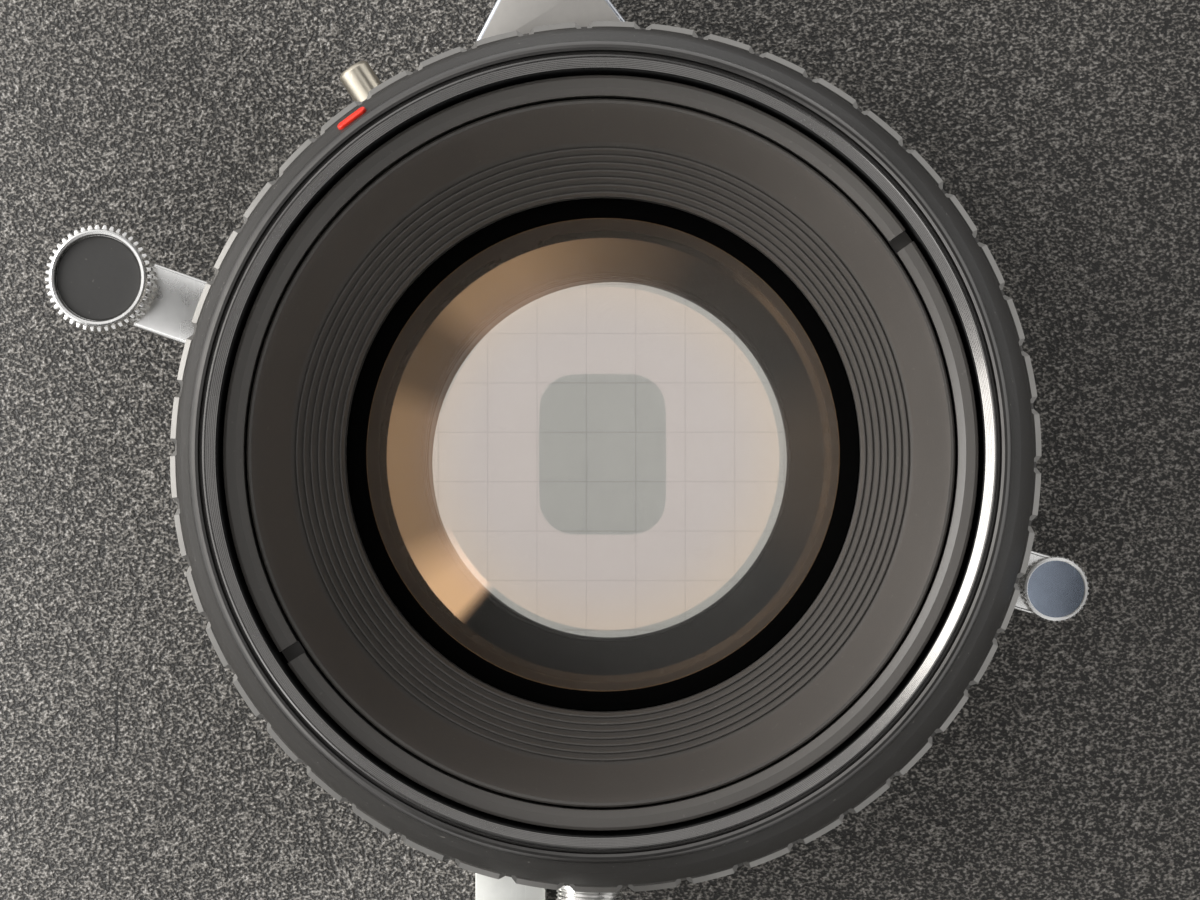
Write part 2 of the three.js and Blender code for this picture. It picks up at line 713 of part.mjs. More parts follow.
function apertureRing() {
  const inner = HOUSING_RADIUS + GAP;
  const outer = inner + APERTURE_RING_WALL;
  const back = GAP + 1;
  const front = back + APERTURE_RING_WIDTH;
  const ring = turned([[inner, back], [outer, back], [outer, front], [inner, front]], 40);
  const tab = block([TAB_LEFT, TAB_RIGHT], [TAB_END, -inner], [back, front]);
  return join(ring, tab);
}

// A hollow threaded socket that stands on the housing wall.
function socket(radius, length, bore, angle, depth) {
  const tube = turned([
    [0, 0],
    [radius * 1.25, 0],
    [radius * 1.25, 1],
    [radius, 1.2],
    [radius, length],
    [bore, length],
    [bore, 2],
    [0, 2],
  ], 16);
  const [x, y] = polar(HOUSING_RADIUS + GAP, angle);
  return tube.rotateX(-Math.PI / 2).rotateZ(radians(angle - 90)).translate(x, y, depth);
}

function cockingKnob() {
  const recess = COCKING_DISC_THICKNESS + 2 * GAP;
  const top = COCKING_KNOB_LENGTH;
  const radius = COCKING_KNOB_RADIUS;
  return turned([
    [0, 0],
    [radius - 0.6, 0],
    [radius, 0.6],
    [radius, top - 0.4],
    [radius - 0.4, top],
    [COCKING_DISC_RADIUS + GAP, top],
    [COCKING_DISC_RADIUS + GAP, top - recess],
    [0, top - recess],
  ], 28);
}

function cockingDisc() {
  const top = COCKING_KNOB_LENGTH - GAP;
  const radius = COCKING_DISC_RADIUS;
  const bottom = top - COCKING_DISC_THICKNESS;
  return turned([[0, bottom], [radius, bottom], [radius, top], [0, top]], 28);
}

function releaseKnob() {
  const radius = RELEASE_KNOB_RADIUS;
  const top = RELEASE_KNOB_LENGTH;
  return turned([
    [0, 0],
    [radius, 0],
    [radius, top - 0.3],
    [radius - 0.3, top],
    [0, top],
  ], 24);
}

const cockingArm = leverArm(COCKING_ANGLE, COCKING_REACH, COCKING_ARM_WIDTH, LEVER_BACK, LEVER_FRONT);
const releaseArm = leverArm(RELEASE_ANGLE, RELEASE_REACH, RELEASE_ARM_WIDTH, LEVER_BACK, LEVER_FRONT);
const cockingEnd = [...polar(COCKING_REACH, COCKING_ANGLE), LEVER_FRONT + GAP];
const releaseEnd = [...polar(RELEASE_REACH, RELEASE_ANGLE), LEVER_FRONT + GAP];
const SYNC_LENGTH = 6.9;
const CABLE_LENGTH = 10;
const syncAngle = 123.2;
const cableAngle = -92.3;
const syncDepth = HOUSING_FRONT - 3.4;
const cableDepth = HOUSING_FRONT - 1.2;
const syncSocket = socket(2, SYNC_LENGTH, 1.2, syncAngle, syncDepth);
const cableSocket = socket(4, CABLE_LENGTH, 1.8, cableAngle, cableDepth);

addMesh(lensGroup, 'lens_board', lensBoard(), crinklePaint());
addMesh(lensGroup, 'shutter_housing', shutterHousing(), satinBlack());
addMesh(lensGroup, 'shutter_cover', shutterCover(), satinBlack());
addMesh(lensGroup, 'shutter_top_plate', topPlate(), satinChrome());
addMesh(lensGroup, 'press_focus_slider', pressFocusSlider(), polishedChrome());
addMesh(lensGroup, 'speed_ring', speedRing(), blackAnodised());
addMesh(lensGroup, 'aperture_ring', apertureRing(), paleAluminium());
addMesh(lensGroup, 'sync_socket', syncSocket, wornNickel());
addMesh(lensGroup, 'cable_release_socket', cableSocket, polishedChrome());
addMesh(lensGroup, 'cocking_lever', cockingArm, polishedChrome());
addMesh(lensGroup, 'cocking_knob', cockingKnob().translate(...cockingEnd), polishedChrome());
addMesh(lensGroup, 'cocking_knob_disc', cockingDisc().translate(...cockingEnd), satinBlack());
addMesh(lensGroup, 'release_lever', releaseArm, polishedChrome());
addMesh(lensGroup, 'release_knob', releaseKnob().translate(...releaseEnd), satinChrome());

const LAYER = BLADE_THICKNESS + GAP;
for (let i = 0; i < BLADE_COUNT; i += 1) {
  const irisLayer = HOUSING_FLOOR + GAP + i * LAYER;
  const shutterLayer = irisLayer + BLADE_COUNT * LAYER;
  addMesh(lensGroup, `iris_blade_${i + 1}`, blade(i, irisLayer), bladeSteel());
  addMesh(lensGroup, `shutter_blade_${i + 1}`, blade(i, shutterLayer), bladeSteel());
}

// ---- lens cells ----------------------------------------------------------------

function frontBarrel() {
  const lip = BARREL_LIP_RADIUS;
  const front = BARREL_FRONT;
  const mouth = THREAD_MOUTH_RADIUS;
  const groove = 0.45;
  const bore = FRONT_GLASS_RADIUS + GAP;
  return turned([
    [HUB_RADIUS, RING_BACK],
    [HUB_RADIUS, BARREL_BACK],
    [BARREL_RADIUS, BARREL_BACK],
    [BARREL_RADIUS, BARREL_BACK + 1.5],
    [BARREL_SHOULDER_RADIUS, front - 5],
    [lip, front - 2.4],
    [lip - 0.2, front - 0.9],
    [lip - 0.9, front],
    [mouth + groove, front - 0.2],
    [mouth + groove, front - 1],
    [mouth, front - 1],
    [mouth, front - 0.2],
    [THREAD_ROOT_RADIUS, front - 5],
    [THREAD_ROOT_RADIUS, BAFFLE_SEAT],
    [bore, BAFFLE_SEAT],
    [bore, GLASS_LEDGE],
    [FRONT_TUBE_RADIUS, GLASS_LEDGE],
    [FRONT_TUBE_RADIUS, RING_BACK],
  ], 44);
}

// Seven low ridges step down the baffle from its cone to the glass.
function frontBaffle() {
  const outer = THREAD_ROOT_RADIUS - GAP;
  const shoulder = BAFFLE_RIM - 4;
  const points = [
    [GLASS_MARGIN_RADIUS, BAFFLE_SEAT + GAP],
    [outer, BAFFLE_SEAT + GAP],
    [outer, shoulder],
    [BAFFLE_RIM_RADIUS, shoulder],
    [BAFFLE_RIM_RADIUS, BAFFLE_RIM],
    [BAFFLE_RIM_RADIUS - 0.5, BAFFLE_RIM],
  ];
  for (let i = 0; i < RIDGE_COUNT; i += 1) {
    const at = (share) => [
      THREE.MathUtils.lerp(CONE_INNER_RADIUS, GLASS_MARGIN_RADIUS, (i + share) / RIDGE_COUNT),
      THREE.MathUtils.lerp(CONE_INNER_DEPTH, GLASS_MARGIN_DEPTH, (i + share) / RIDGE_COUNT),
    ];
    const [valleyRadius, valleyDepth] = at(0);
    const [crestRadius, crestDepth] = at(0.5);
    points.push([valleyRadius, valleyDepth], [crestRadius, crestDepth + RIDGE_HEIGHT]);
  }
  points.push([GLASS_MARGIN_RADIUS, GLASS_MARGIN_DEPTH]);
  return turned(points, 32);
}

// The retaining ring in front, with two slots for a spanner.
const SPANNER_SLOTS = [35, 213];
const SPANNER_SLOT_WIDTH = 1.5;

function nameRing() {
  const inner = BAFFLE_RIM_RADIUS + GAP;
  const back = BAFFLE_RIM - 4 + GAP;
  const ring = turned([
    [inner, back],
    [NAME_RING_RADIUS, back],
    [NAME_RING_RADIUS, NAME_RING_FRONT - 0.3],
    [NAME_RING_RADIUS - 0.4, NAME_RING_FRONT],
    [inner, NAME_RING_FRONT - 0.9],
  ], 40);
  const half = SPANNER_SLOT_WIDTH / 2;
  const slots = SPANNER_SLOTS.map((angle) => {
    const reach = [inner - 3, NAME_RING_RADIUS + 3];
    const slot = block(reach, [-half, half], [NAME_RING_FRONT - 2.4, NAME_RING_FRONT + 1]);
    return slot.rotateZ(radians(angle));
  });
  return cut(ring, ...slots);
}

function frontGlass() {
  const edge = BAFFLE_SEAT - 1;
  const sag = FRONT_GLASS_CURVE - Math.sqrt(FRONT_GLASS_CURVE ** 2 - FRONT_GLASS_RADIUS ** 2);
  const face = dome(FRONT_GLASS_CURVE, FRONT_GLASS_RADIUS, edge + sag).reverse();
  const back = GLASS_LEDGE + GAP;
  return turned([[0, back], [FRONT_GLASS_RADIUS, back], ...face], 32);
}

function frontInnerGlass() {
  const radius = FRONT_TUBE_RADIUS - GAP;
  const face = dome(90, radius, GLASS_LEDGE - 3).reverse();
  const back = dome(-120, radius, RING_BACK + 1);
  return turned([...back, ...face], 32);
}

function rearBarrel() {
  const thread = CELL_THREAD_RADIUS - GAP;
  const shoulder = -MOUNT_THREAD_LENGTH - GAP;
  const tube = APERTURE_RADIUS + REAR_TUBE_STEP;
  const seat = -REAR_BARREL_END + 9;
  const bore = REAR_GLASS_RADIUS + GAP;
  return turned([
    [thread, -1 - GAP],
    [tube, -1 - GAP],
    [tube, seat],
    [bore, seat],
    [bore, -REAR_BARREL_END],
    [REAR_BARREL_RADIUS - 1, -REAR_BARREL_END],
    [REAR_BARREL_RADIUS, -REAR_BARREL_END + 1],
    [REAR_BARREL_RADIUS, shoulder],
    [thread, shoulder],
  ]);
}

function rearGlass() {
  const seat = -REAR_BARREL_END + 9 - GAP;
  const edge = seat - 1.8;
  const sag = REAR_GLASS_CURVE - Math.sqrt(REAR_GLASS_CURVE ** 2 - REAR_GLASS_RADIUS ** 2);
  const face = dome(-REAR_GLASS_CURVE, REAR_GLASS_RADIUS, edge - sag);
  return turned([...face, [REAR_GLASS_RADIUS, seat], [0, seat]], 32);
}

function retainingRing() {
  const inner = MOUNT_THREAD_RADIUS + GAP;
  const front = -BOARD_THICKNESS - GAP;
  const back = front - RETAINING_RING_THICKNESS;
  return turned([
    [inner, front],
    [RETAINING_RING_RADIUS, front],
    [RETAINING_RING_RADIUS, back],
    [inner, back],
  ], 32);
}

addMesh(lensGroup, 'front_barrel', frontBarrel(), blackAnodised());
addMesh(lensGroup, 'front_baffle', frontBaffle(), satinBlack());
addMesh(lensGroup, 'name_ring', nameRing(), blackAnodised());
addMesh(lensGroup, 'front_glass', frontGlass(), coatedGlass());
addMesh(lensGroup, 'front_inner_glass', frontInnerGlass(), clearGlass());
addMesh(lensGroup, 'rear_barrel', rearBarrel(), blackAnodised());
addMesh(lensGroup, 'rear_glass', rearGlass(), coatedGlass());
addMesh(lensGroup, 'retaining_ring', retainingRing(), satinBlack());

// ---- bellows and back -----------------------------------------------------------

// A pleated square tube from the front frame to the rear frame.
function bellows() {
  const start = FRONT_Y + FRAME_DEPTH / 2 + GAP;
  const end = REAR_Y - FRAME_DEPTH / 2 - GAP;
  const steps = BELLOWS_FOLDS * 2;
  const outside = [];
  const inside = [];
  for (let i = 0; i <= steps; i += 1) {
    const along = THREE.MathUtils.lerp(start, end, i / steps);
    const half = BELLOWS_SIZE / 2 - (i % 2 === 0 ? BELLOWS_FOLD_DEPTH : 0);
    outside.push(new THREE.Vector2(half * Math.SQRT2, along));
    inside.push(new THREE.Vector2((half - BELLOWS_WALL) * Math.SQRT2, along));
  }
  const profile = [...outside, ...inside.reverse(), outside[0]];
  return new THREE.LatheGeometry(profile, 4, Math.PI / 4).translate(0, 0, AXIS_Z);
}

// The spring back, centred like the rear frame, which is in front of it.
const BACK_FRONT = -FRAME_DEPTH / 2 - GAP;
const BACK_REAR = BACK_FRONT - BACK_DEPTH;

function backFrame() {
  const outline = roundedRectangle(BACK_SIZE, BACK_SIZE, 4);
  const width = GLASS_WIDTH - 2 * GLASS_LIP;
  const height = GLASS_HEIGHT - 2 * GLASS_LIP;
  outline.holes.push(roundedRectangle(width, height, 2, THREE.Path));
  const x = GLASS_WIDTH / 2 + GAP;
  const y = GLASS_HEIGHT / 2 + GAP;
  const seat = block([-x, x], [-y, y], [BACK_REAR - 1, BACK_REAR + GLASS_THICKNESS + 2]);
  return cut(plate(outline, BACK_REAR, BACK_FRONT, 4), seat);
}

function focusingScreen() {
  const outline = roundedRectangle(GLASS_WIDTH, GLASS_HEIGHT, 1);
  const front = BACK_REAR + GLASS_THICKNESS + 2 - GAP;
  return plate(outline, front - GLASS_THICKNESS, front, 2);
}

// A leaf spring: a foot on the rear frame, an arm, and a finger over the back.
const SPRING_TOP = 70;
const SPRING_LOW = -40;
const SPRING_FINGER = 12;

function backSpring(side) {
  const inner = BACK_SIZE / 2 + 2;
  const outer = inner + SPRING_WIDTH;
  const reach = (from, to) => [side * from, side * to].sort((a, b) => a - b);
  const armDepth = [BACK_REAR - GAP - SPRING_THICKNESS, BACK_REAR - GAP];
  const foot = block(reach(inner, outer), [SPRING_TOP - 18, SPRING_TOP], [armDepth[0], BACK_FRONT]);
  const arm = block(reach(inner, outer), [SPRING_LOW, SPRING_TOP], armDepth);
  const finger = block(reach(inner - 10, outer), [SPRING_LOW, SPRING_LOW + SPRING_FINGER], armDepth);
  return join(foot, arm, finger);
}

function bubbleLevel() {
  const top = FRAME_SIZE / 2 + GAP;
  const cradle = block([46, 78], [top, top + 6], [-6, 6]);
  const vial = alongX(turned([[0, 0], [4, 0], [4, 26], [0, 26]], 16), 1, 49, top + 5, 0);
  return join(cradle, vial);
}

addMesh(viewCamera, 'bellows', bellows(), bellowsCloth());
addMesh(rearGroup, 'back_frame', backFrame(), satinBlack());
addMesh(rearGroup, 'ground_glass', focusingScreen(), groundGlass());
addMesh(rearGroup, 'bubble_level', bubbleLevel(), paleAluminium());
for (const [name, side] of SIDES) {
  addMesh(rearGroup, `back_spring_${name}`, backSpring(side), springSteel());
}

export default viewCamera;
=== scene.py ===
# %% [markdown]
# # A monorail view camera, seen close on its lens
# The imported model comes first: every solid is already at its real size and
# place, and each one rides on the body that carries it. This script gives
# the solids their finish, and models again the pieces that need a finer
# shape than the plain solids have.

# %% Load the frame
import bpy, json, math
from mathutils import Vector, Matrix

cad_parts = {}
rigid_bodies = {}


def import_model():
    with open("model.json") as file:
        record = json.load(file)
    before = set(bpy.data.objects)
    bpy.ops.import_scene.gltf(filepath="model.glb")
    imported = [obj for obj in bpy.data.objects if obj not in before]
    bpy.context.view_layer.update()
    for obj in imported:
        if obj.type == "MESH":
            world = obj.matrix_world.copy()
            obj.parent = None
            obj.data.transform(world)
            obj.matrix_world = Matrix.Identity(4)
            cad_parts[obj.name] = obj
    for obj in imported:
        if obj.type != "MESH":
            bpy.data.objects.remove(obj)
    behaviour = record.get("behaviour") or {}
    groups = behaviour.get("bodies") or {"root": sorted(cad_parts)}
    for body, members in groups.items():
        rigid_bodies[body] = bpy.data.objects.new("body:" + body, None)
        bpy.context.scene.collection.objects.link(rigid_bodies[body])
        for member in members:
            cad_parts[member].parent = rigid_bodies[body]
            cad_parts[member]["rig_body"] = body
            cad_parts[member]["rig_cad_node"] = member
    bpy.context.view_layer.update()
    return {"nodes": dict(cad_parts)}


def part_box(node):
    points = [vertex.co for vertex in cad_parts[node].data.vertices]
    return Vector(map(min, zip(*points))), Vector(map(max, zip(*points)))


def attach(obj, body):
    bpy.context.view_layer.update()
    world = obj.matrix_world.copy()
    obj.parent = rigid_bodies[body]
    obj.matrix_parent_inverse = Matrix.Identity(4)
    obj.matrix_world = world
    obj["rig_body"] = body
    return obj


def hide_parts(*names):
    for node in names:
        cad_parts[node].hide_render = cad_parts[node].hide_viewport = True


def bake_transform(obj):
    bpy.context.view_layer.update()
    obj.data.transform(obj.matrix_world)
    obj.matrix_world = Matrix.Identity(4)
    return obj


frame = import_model()
nodes = frame["nodes"]

# %% [markdown]
# Everything is placed from the solids. The lens axis runs through the middle
# of the board along -Y, and depths on the lens are measured forward from the
# front face of the board.

# %% Measure the solids
MM = 0.001
board_low, board_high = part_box("lens_board")
ring_low, ring_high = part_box("speed_ring")
AXIS_Z = (board_low.z + board_high.z) / 2
BOARD_Y = board_low.y
FRONT_Y = sum(corner.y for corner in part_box("front_yoke")) / 2
REAR_Y = sum(corner.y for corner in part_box("rear_yoke")) / 2
RING_Y = (ring_low.y + ring_high.y) / 2
print("axis height", round(AXIS_Z, 4), "board face", round(BOARD_Y, 4))

# %% [markdown]
# The camera looks straight at the lens from close by, a little below its
# axis and a little to its right, so the barrel hides most of the shutter.

# %% Camera
VIEW_DISTANCE = 0.45
camera_data = bpy.data.cameras.new("view")
camera = bpy.data.objects.new("view", camera_data)
bpy.context.scene.collection.objects.link(camera)
camera.location = (0.0086, RING_Y - VIEW_DISTANCE, AXIS_Z - 0.0071)
aim = Vector((-0.00062, RING_Y, AXIS_Z + 0.00077)) - camera.location
camera.rotation_euler = aim.to_track_quat("-Z", "Y").to_euler()
camera_data.lens = 114.6
camera_data.sensor_width = 36
camera_data.clip_start = 0.01
bpy.context.scene.camera = camera
bpy.context.scene.view_settings.view_transform = "Standard"
print("camera at", [round(value, 3) for value in camera.location])

# %% [markdown]
# One class wraps a socket, so that shader maths can be written as plain
# expressions. Another builds a material round one Principled shader.

# %% Shader helpers
class Wire:
    """An output socket whose operators add Math nodes."""

    def __init__(self, paint, socket):
        self.paint = paint
        self.socket = socket

    def maths(self, operation, first, second):
        settings = {"operation": operation}
        return self.paint.node("Math", settings, {0: first, 1: second})

    def __add__(self, other):
        return self.maths("ADD", self, other)

    def __radd__(self, other):
        return self.maths("ADD", other, self)

    def __sub__(self, other):
        return self.maths("SUBTRACT", self, other)

    def __rsub__(self, other):
        return self.maths("SUBTRACT", other, self)

    def __mul__(self, other):
        return self.maths("MULTIPLY", self, other)

    def __rmul__(self, other):
        return self.maths("MULTIPLY", other, self)

    def __truediv__(self, other):
        return self.maths("DIVIDE", self, other)

    def power(self, exponent):
        return self.maths("POWER", self, exponent)

    def larger(self, other):
        return self.maths("MAXIMUM", self, other)


class Paint:
    """A material with one Principled shader."""

    def __init__(self, name):
        self.material = bpy.data.materials.new(name)
        self.material.use_nodes = True
        self.tree = self.material.node_tree
        self.shader = self.tree.nodes["Principled BSDF"]

    def put(self, socket, value):
        if isinstance(value, Wire):
            self.tree.links.new(value.socket, socket)
        elif hasattr(socket.default_value, "__len__"):
            size = len(socket.default_value)
            value = tuple(value)
            socket.default_value = value + (1.0,) * (size - len(value))
        else:
            socket.default_value = value

    def node(self, kind, settings=None, inputs=None, out=0):
        made = self.tree.nodes.new("ShaderNode" + kind)
        for key, value in (settings or {}).items():
            if key == "stops":
                while len(made.color_ramp.elements) < len(value):
                    made.color_ramp.elements.new(0.5)
                for stop, (place, colour) in zip(made.color_ramp.elements, value):
                    stop.position = place
                    stop.color = tuple(colour) + (1.0,)
            else:
                setattr(made, key, value)
        for key, value in (inputs or {}).items():
            self.put(made.inputs[key], value)
        return Wire(self, made.outputs[out])

    def set(self, **sockets):
        for name, value in sockets.items():
            self.put(self.shader.inputs[name.replace("_", " ")], value)
        return self

    def place(self):
        return self.node("TexCoord", out="Object")

    def mapped(self, scale=(1, 1, 1), turn=(0, 0, 0), shift=(0, 0, 0)):
        inputs = {"Vector": self.place(), "Scale": scale, "Rotation": turn, "Location": shift}
        return self.node("Mapping", {}, inputs)

    def noise(self, per_metre, detail=3.0, roughness=0.5, vector=None):
        inputs = {
            "Vector": vector or self.place(),
            "Scale": per_metre,
            "Detail": detail,
            "Roughness": roughness,
        }
        return self.node("TexNoise", {}, inputs)

    def cells(self, per_metre, feature="F1", vector=None):
        inputs = {"Vector": vector or self.place(), "Scale": per_metre}
        return self.node("TexVoronoi", {"feature": feature}, inputs)

    def between(self, value, low, high):
        inputs = {"Value": value, "From Min": low, "From Max": high}
        return self.node("MapRange", {"interpolation_type": "SMOOTHSTEP"}, inputs)

    def between_linear(self, value, low, high):
        return self.node("MapRange", {}, {"Value": value, "From Min": low, "From Max": high})

    def blend(self, first, second, factor):
        inputs = {0: factor, 6: first, 7: second}
        return self.node("Mix", {"data_type": "RGBA"}, inputs, out=2)

    def grey(self, value):
        inputs = {"Red": value, "Green": value, "Blue": value}
        return self.node("CombineColor", {}, inputs)

    def bump(self, height, strength, depth):
        inputs = {"Height": height, "Strength": strength, "Distance": depth}
        self.put(self.shader.inputs["Normal"], self.node("Bump", {}, inputs))
        return self


def lens_radius(paint):
    """Distance from the lens axis in metres, on pieces of the front standard."""
    inputs = {0: paint.place(), 1: (0, 0, AXIS_Z)}
    from_axis = paint.node("VectorMath", {"operation": "SUBTRACT"}, inputs)
    flat = paint.node("VectorMath", {"operation": "MULTIPLY"}, {0: from_axis, 1: (1, 0, 1)})
    return paint.node("VectorMath", {"operation": "LENGTH"}, {0: flat}, out="Value")


# %% [markdown]
# ## Finishes
# Most of this camera is black, and the blacks differ only in their texture:
# crinkle paint on the board, fine matte anodising on the barrel, satin paint
# inside the lens and on the frames. Every finish gets its own grain.

# %% Crinkle paint
def crinkle_paint():
    paint = Paint("crinkle_black")
    lean = paint.mapped(scale=(0.74, 1, 1), turn=(0, 0.3, 0))
    fine = paint.noise(3300, 1.0, 0.5, lean)
    creases = paint.noise(1700, 1.0, 0.5, lean)
    drift = paint.noise(40, 3.0)
    height = fine * 0.75 + creases * 0.25
    # The peaks are painted lighter than the creases: painted highlight on the crinkle peaks and painted shade
    # in the creases. The same mask also makes the peaks a little smoother.
    painted_peak_light = paint.between(height, 0.44, 0.62)
    painted_glints = paint.between(height, 0.6, 0.68)
    low = paint.blend((0.014, 0.0132, 0.0122), (0.028, 0.0262, 0.0242), drift)
    tone = paint.blend(low, (0.2, 0.188, 0.173), painted_peak_light)
    line_place = paint.node("SeparateXYZ", {}, {0: paint.place()})
    near_x = paint.node("Math", {"operation": "ABSOLUTE"}, {0: line_place + 0.0608})
    upright = Wire(paint, line_place.socket.node.outputs["Z"])
    near_z = paint.node("Math", {"operation": "ABSOLUTE"}, {0: upright - (AXIS_Z - 0.0325)})
    scratch = (1.0 - paint.between(near_x, 0.0001, 0.0003)) * (1.0 - paint.between(near_z, 0.003, 0.005))
    # The highest peaks get pale flecks in the colour: painted glints.
    tone = paint.blend(tone, (0.45, 0.43, 0.41), painted_glints * 0.7)
    paint.set(Base_Color=paint.blend(tone, (0.004, 0.004, 0.004), scratch * 0.8))
    paint.set(Roughness=0.5 - painted_peak_light * 0.16)
    return paint.bump(height, 1.0, 0.0004).material


# %% [markdown]
# The anodised barrel is matte and even. A few pale dust specks and a faint
# grain keep it from looking like plastic, and handling polishes its edges.

# %% Anodised and painted blacks
def black_finish(name, colour, roughness, grain, specks=0.0, wear=0.0):
    paint = Paint(name)
    cloud = paint.noise(55, 4.0)
    fine = paint.noise(grain, 3.0, 0.6)
    tone = paint.blend([c * 0.82 for c in colour], [c * 1.2 for c in colour], cloud)
    speck = paint.between(paint.noise(1500, 1.0), 0.74, 0.78) * specks
    tone = paint.blend(tone, (0.34, 0.32, 0.3), speck)
    if wear:
        rub = paint.between(paint.noise(190, 4.0, 0.7), 0.44, 0.66) * wear
        tone = paint.blend(tone, (0.3, 0.285, 0.265), rub)
    paint.set(Base_Color=tone, Roughness=fine * 0.14 + (roughness - 0.07))
    return paint.bump(fine, 0.35, 0.00003).material


# %% [markdown]
# Bright metal is never a clean mirror on a used shutter. Smudges change the
# roughness, and hairline scratches run one way.

# %% Bright metals
def bright_metal(name, colour, roughness, smudge=0.16, streak=(1, 1, 1), scratches=0.25):
    paint = Paint(name)
    smears = paint.between(paint.noise(110, 4.0, 0.6), 0.35, 0.75)
    grain = paint.noise(900, 3.0, 0.6, paint.mapped(scale=streak))
    hair = paint.noise(500, 2.0, 0.5, paint.mapped(scale=(9, 9, 0.35), turn=(0.4, 0.7, 0.3)))
    line = paint.between(hair, 0.66, 0.7) * scratches
    tone = paint.blend([c * 0.86 for c in colour], colour, grain)
    paint.set(Base_Color=paint.blend(tone, [min(1, c * 1.2) for c in colour], line))
    paint.set(Metallic=1.0, Roughness=smears * smudge + line * 0.2 + roughness)
    return paint.bump(grain * 0.6 + line, 0.2, 0.00002).material


# %% [markdown]
# The rail is brushed along its length, so its grain is stretched that way.

# %% Brushed rail
def rail_metal():
    paint = Paint("satin_aluminium")
    grain = paint.noise(700, 4.0, 0.65, paint.mapped(scale=(1, 0.03, 1)))
    cloud = paint.noise(20, 2.0)
    paint.set(Base_Color=paint.blend((0.36, 0.35, 0.34), (0.56, 0.55, 0.53), grain))
    paint.set(Metallic=1.0, Roughness=cloud * 0.12 + grain * 0.1 + 0.2)
    return paint.bump(grain, 0.25, 0.00003).material


# %% [markdown]
# Moulded knobs have a slight orange peel and a dull sheen. The bellows is
# cloth backed with thin leather, with a fine irregular grain.

# %% Plastic, leather and glass
def moulded_plastic():
    paint = Paint("knob_plastic")
    peel = paint.noise(1400, 3.0)
    cloud = paint.noise(90, 3.0)
    paint.set(Base_Color=paint.blend((0.012, 0.012, 0.012), (0.026, 0.025, 0.024), cloud))
    paint.set(Roughness=cloud * 0.16 + 0.3)
    return paint.bump(peel, 0.3, 0.00005).material


def bellows_leather():
    paint = Paint("bellows_cloth")
    grain = paint.cells(900, "SMOOTH_F1")
    pores = paint.noise(2200, 4.0, 0.6)
    cloud = paint.noise(26, 4.0)
    tone = paint.blend((0.011, 0.0108, 0.0104), (0.03, 0.029, 0.027), cloud)
    paint.set(Base_Color=paint.blend(tone, (0.05, 0.048, 0.045), paint.between(grain, 0.35, 0.8) * 0.5))
    paint.set(Roughness=pores * 0.2 + 0.5)
    return paint.bump(grain * 0.7 + pores * 0.5, 0.6, 0.00012).material


def coated_glass(name, edge_radius, strength=0.25):
    """A mirror-thin amber coating, and black paint under the rim."""
    paint = Paint(name)
    radius = lens_radius(paint)
    rim = paint.between(radius, edge_radius, edge_radius + 0.0002)
    warm = paint.between(radius, 0.013, 0.0235)
    coat = paint.blend((0.62, 0.44, 0.43), (0.88, 0.54, 0.29), warm)
    paint.set(Base_Color=paint.blend(coat, (0.002, 0.002, 0.002), rim))
    paint.set(Metallic=1.0 - rim, Roughness=0.03, Specular_IOR_Level=0.08)
    paint.set(Alpha=rim * (1 - strength) + strength)
    return paint.material


def plain_glass(name, alpha):
    paint = Paint(name)
    haze = paint.between(paint.noise(180, 3.0), 0.6, 0.8)
    paint.set(Base_Color=(0.9, 0.92, 0.9), Roughness=0.04)
    paint.set(Alpha=haze * 0.02 + alpha)
    return paint.material


def ground_screen():
    """Ground on its inner side, with fine ruled lines 10 mm apart."""
    paint = Paint("ground_glass")
    frost = paint.noise(3000, 3.0)
    inputs = {0: paint.place(), 1: (100, 100, 100)}
    scaled = paint.node("VectorMath", {"operation": "MULTIPLY"}, inputs)
    inputs = {0: scaled, 1: (0.5, 0, AXIS_Z * 100 + 0.5)}
    shifted = paint.node("VectorMath", {"operation": "SUBTRACT"}, inputs)
    cell = paint.node("VectorMath", {"operation": "FRACTION"}, {0: shifted})
    parts = paint.node("SeparateXYZ", {}, {0: cell})
    upright = Wire(paint, parts.socket.node.outputs["Z"])
    far_x = paint.node("Math", {"operation": "ABSOLUTE"}, {0: parts - 0.5})
    far_z = paint.node("Math", {"operation": "ABSOLUTE"}, {0: upright - 0.5})
    lines = (1.0 - paint.between(far_x, 0.008, 0.014)).larger(1.0 - paint.between(far_z, 0.008, 0.014))
    tone = paint.blend((0.92, 0.91, 0.85), (0.97, 0.95, 0.89), frost)
    paint.set(Base_Color=paint.blend(tone, (0.25, 0.25, 0.25), lines * 0.35))
    paint.set(Roughness=frost * 0.1 + 0.6, Transmission_Weight=0.8, IOR=1.1)
    return paint.material


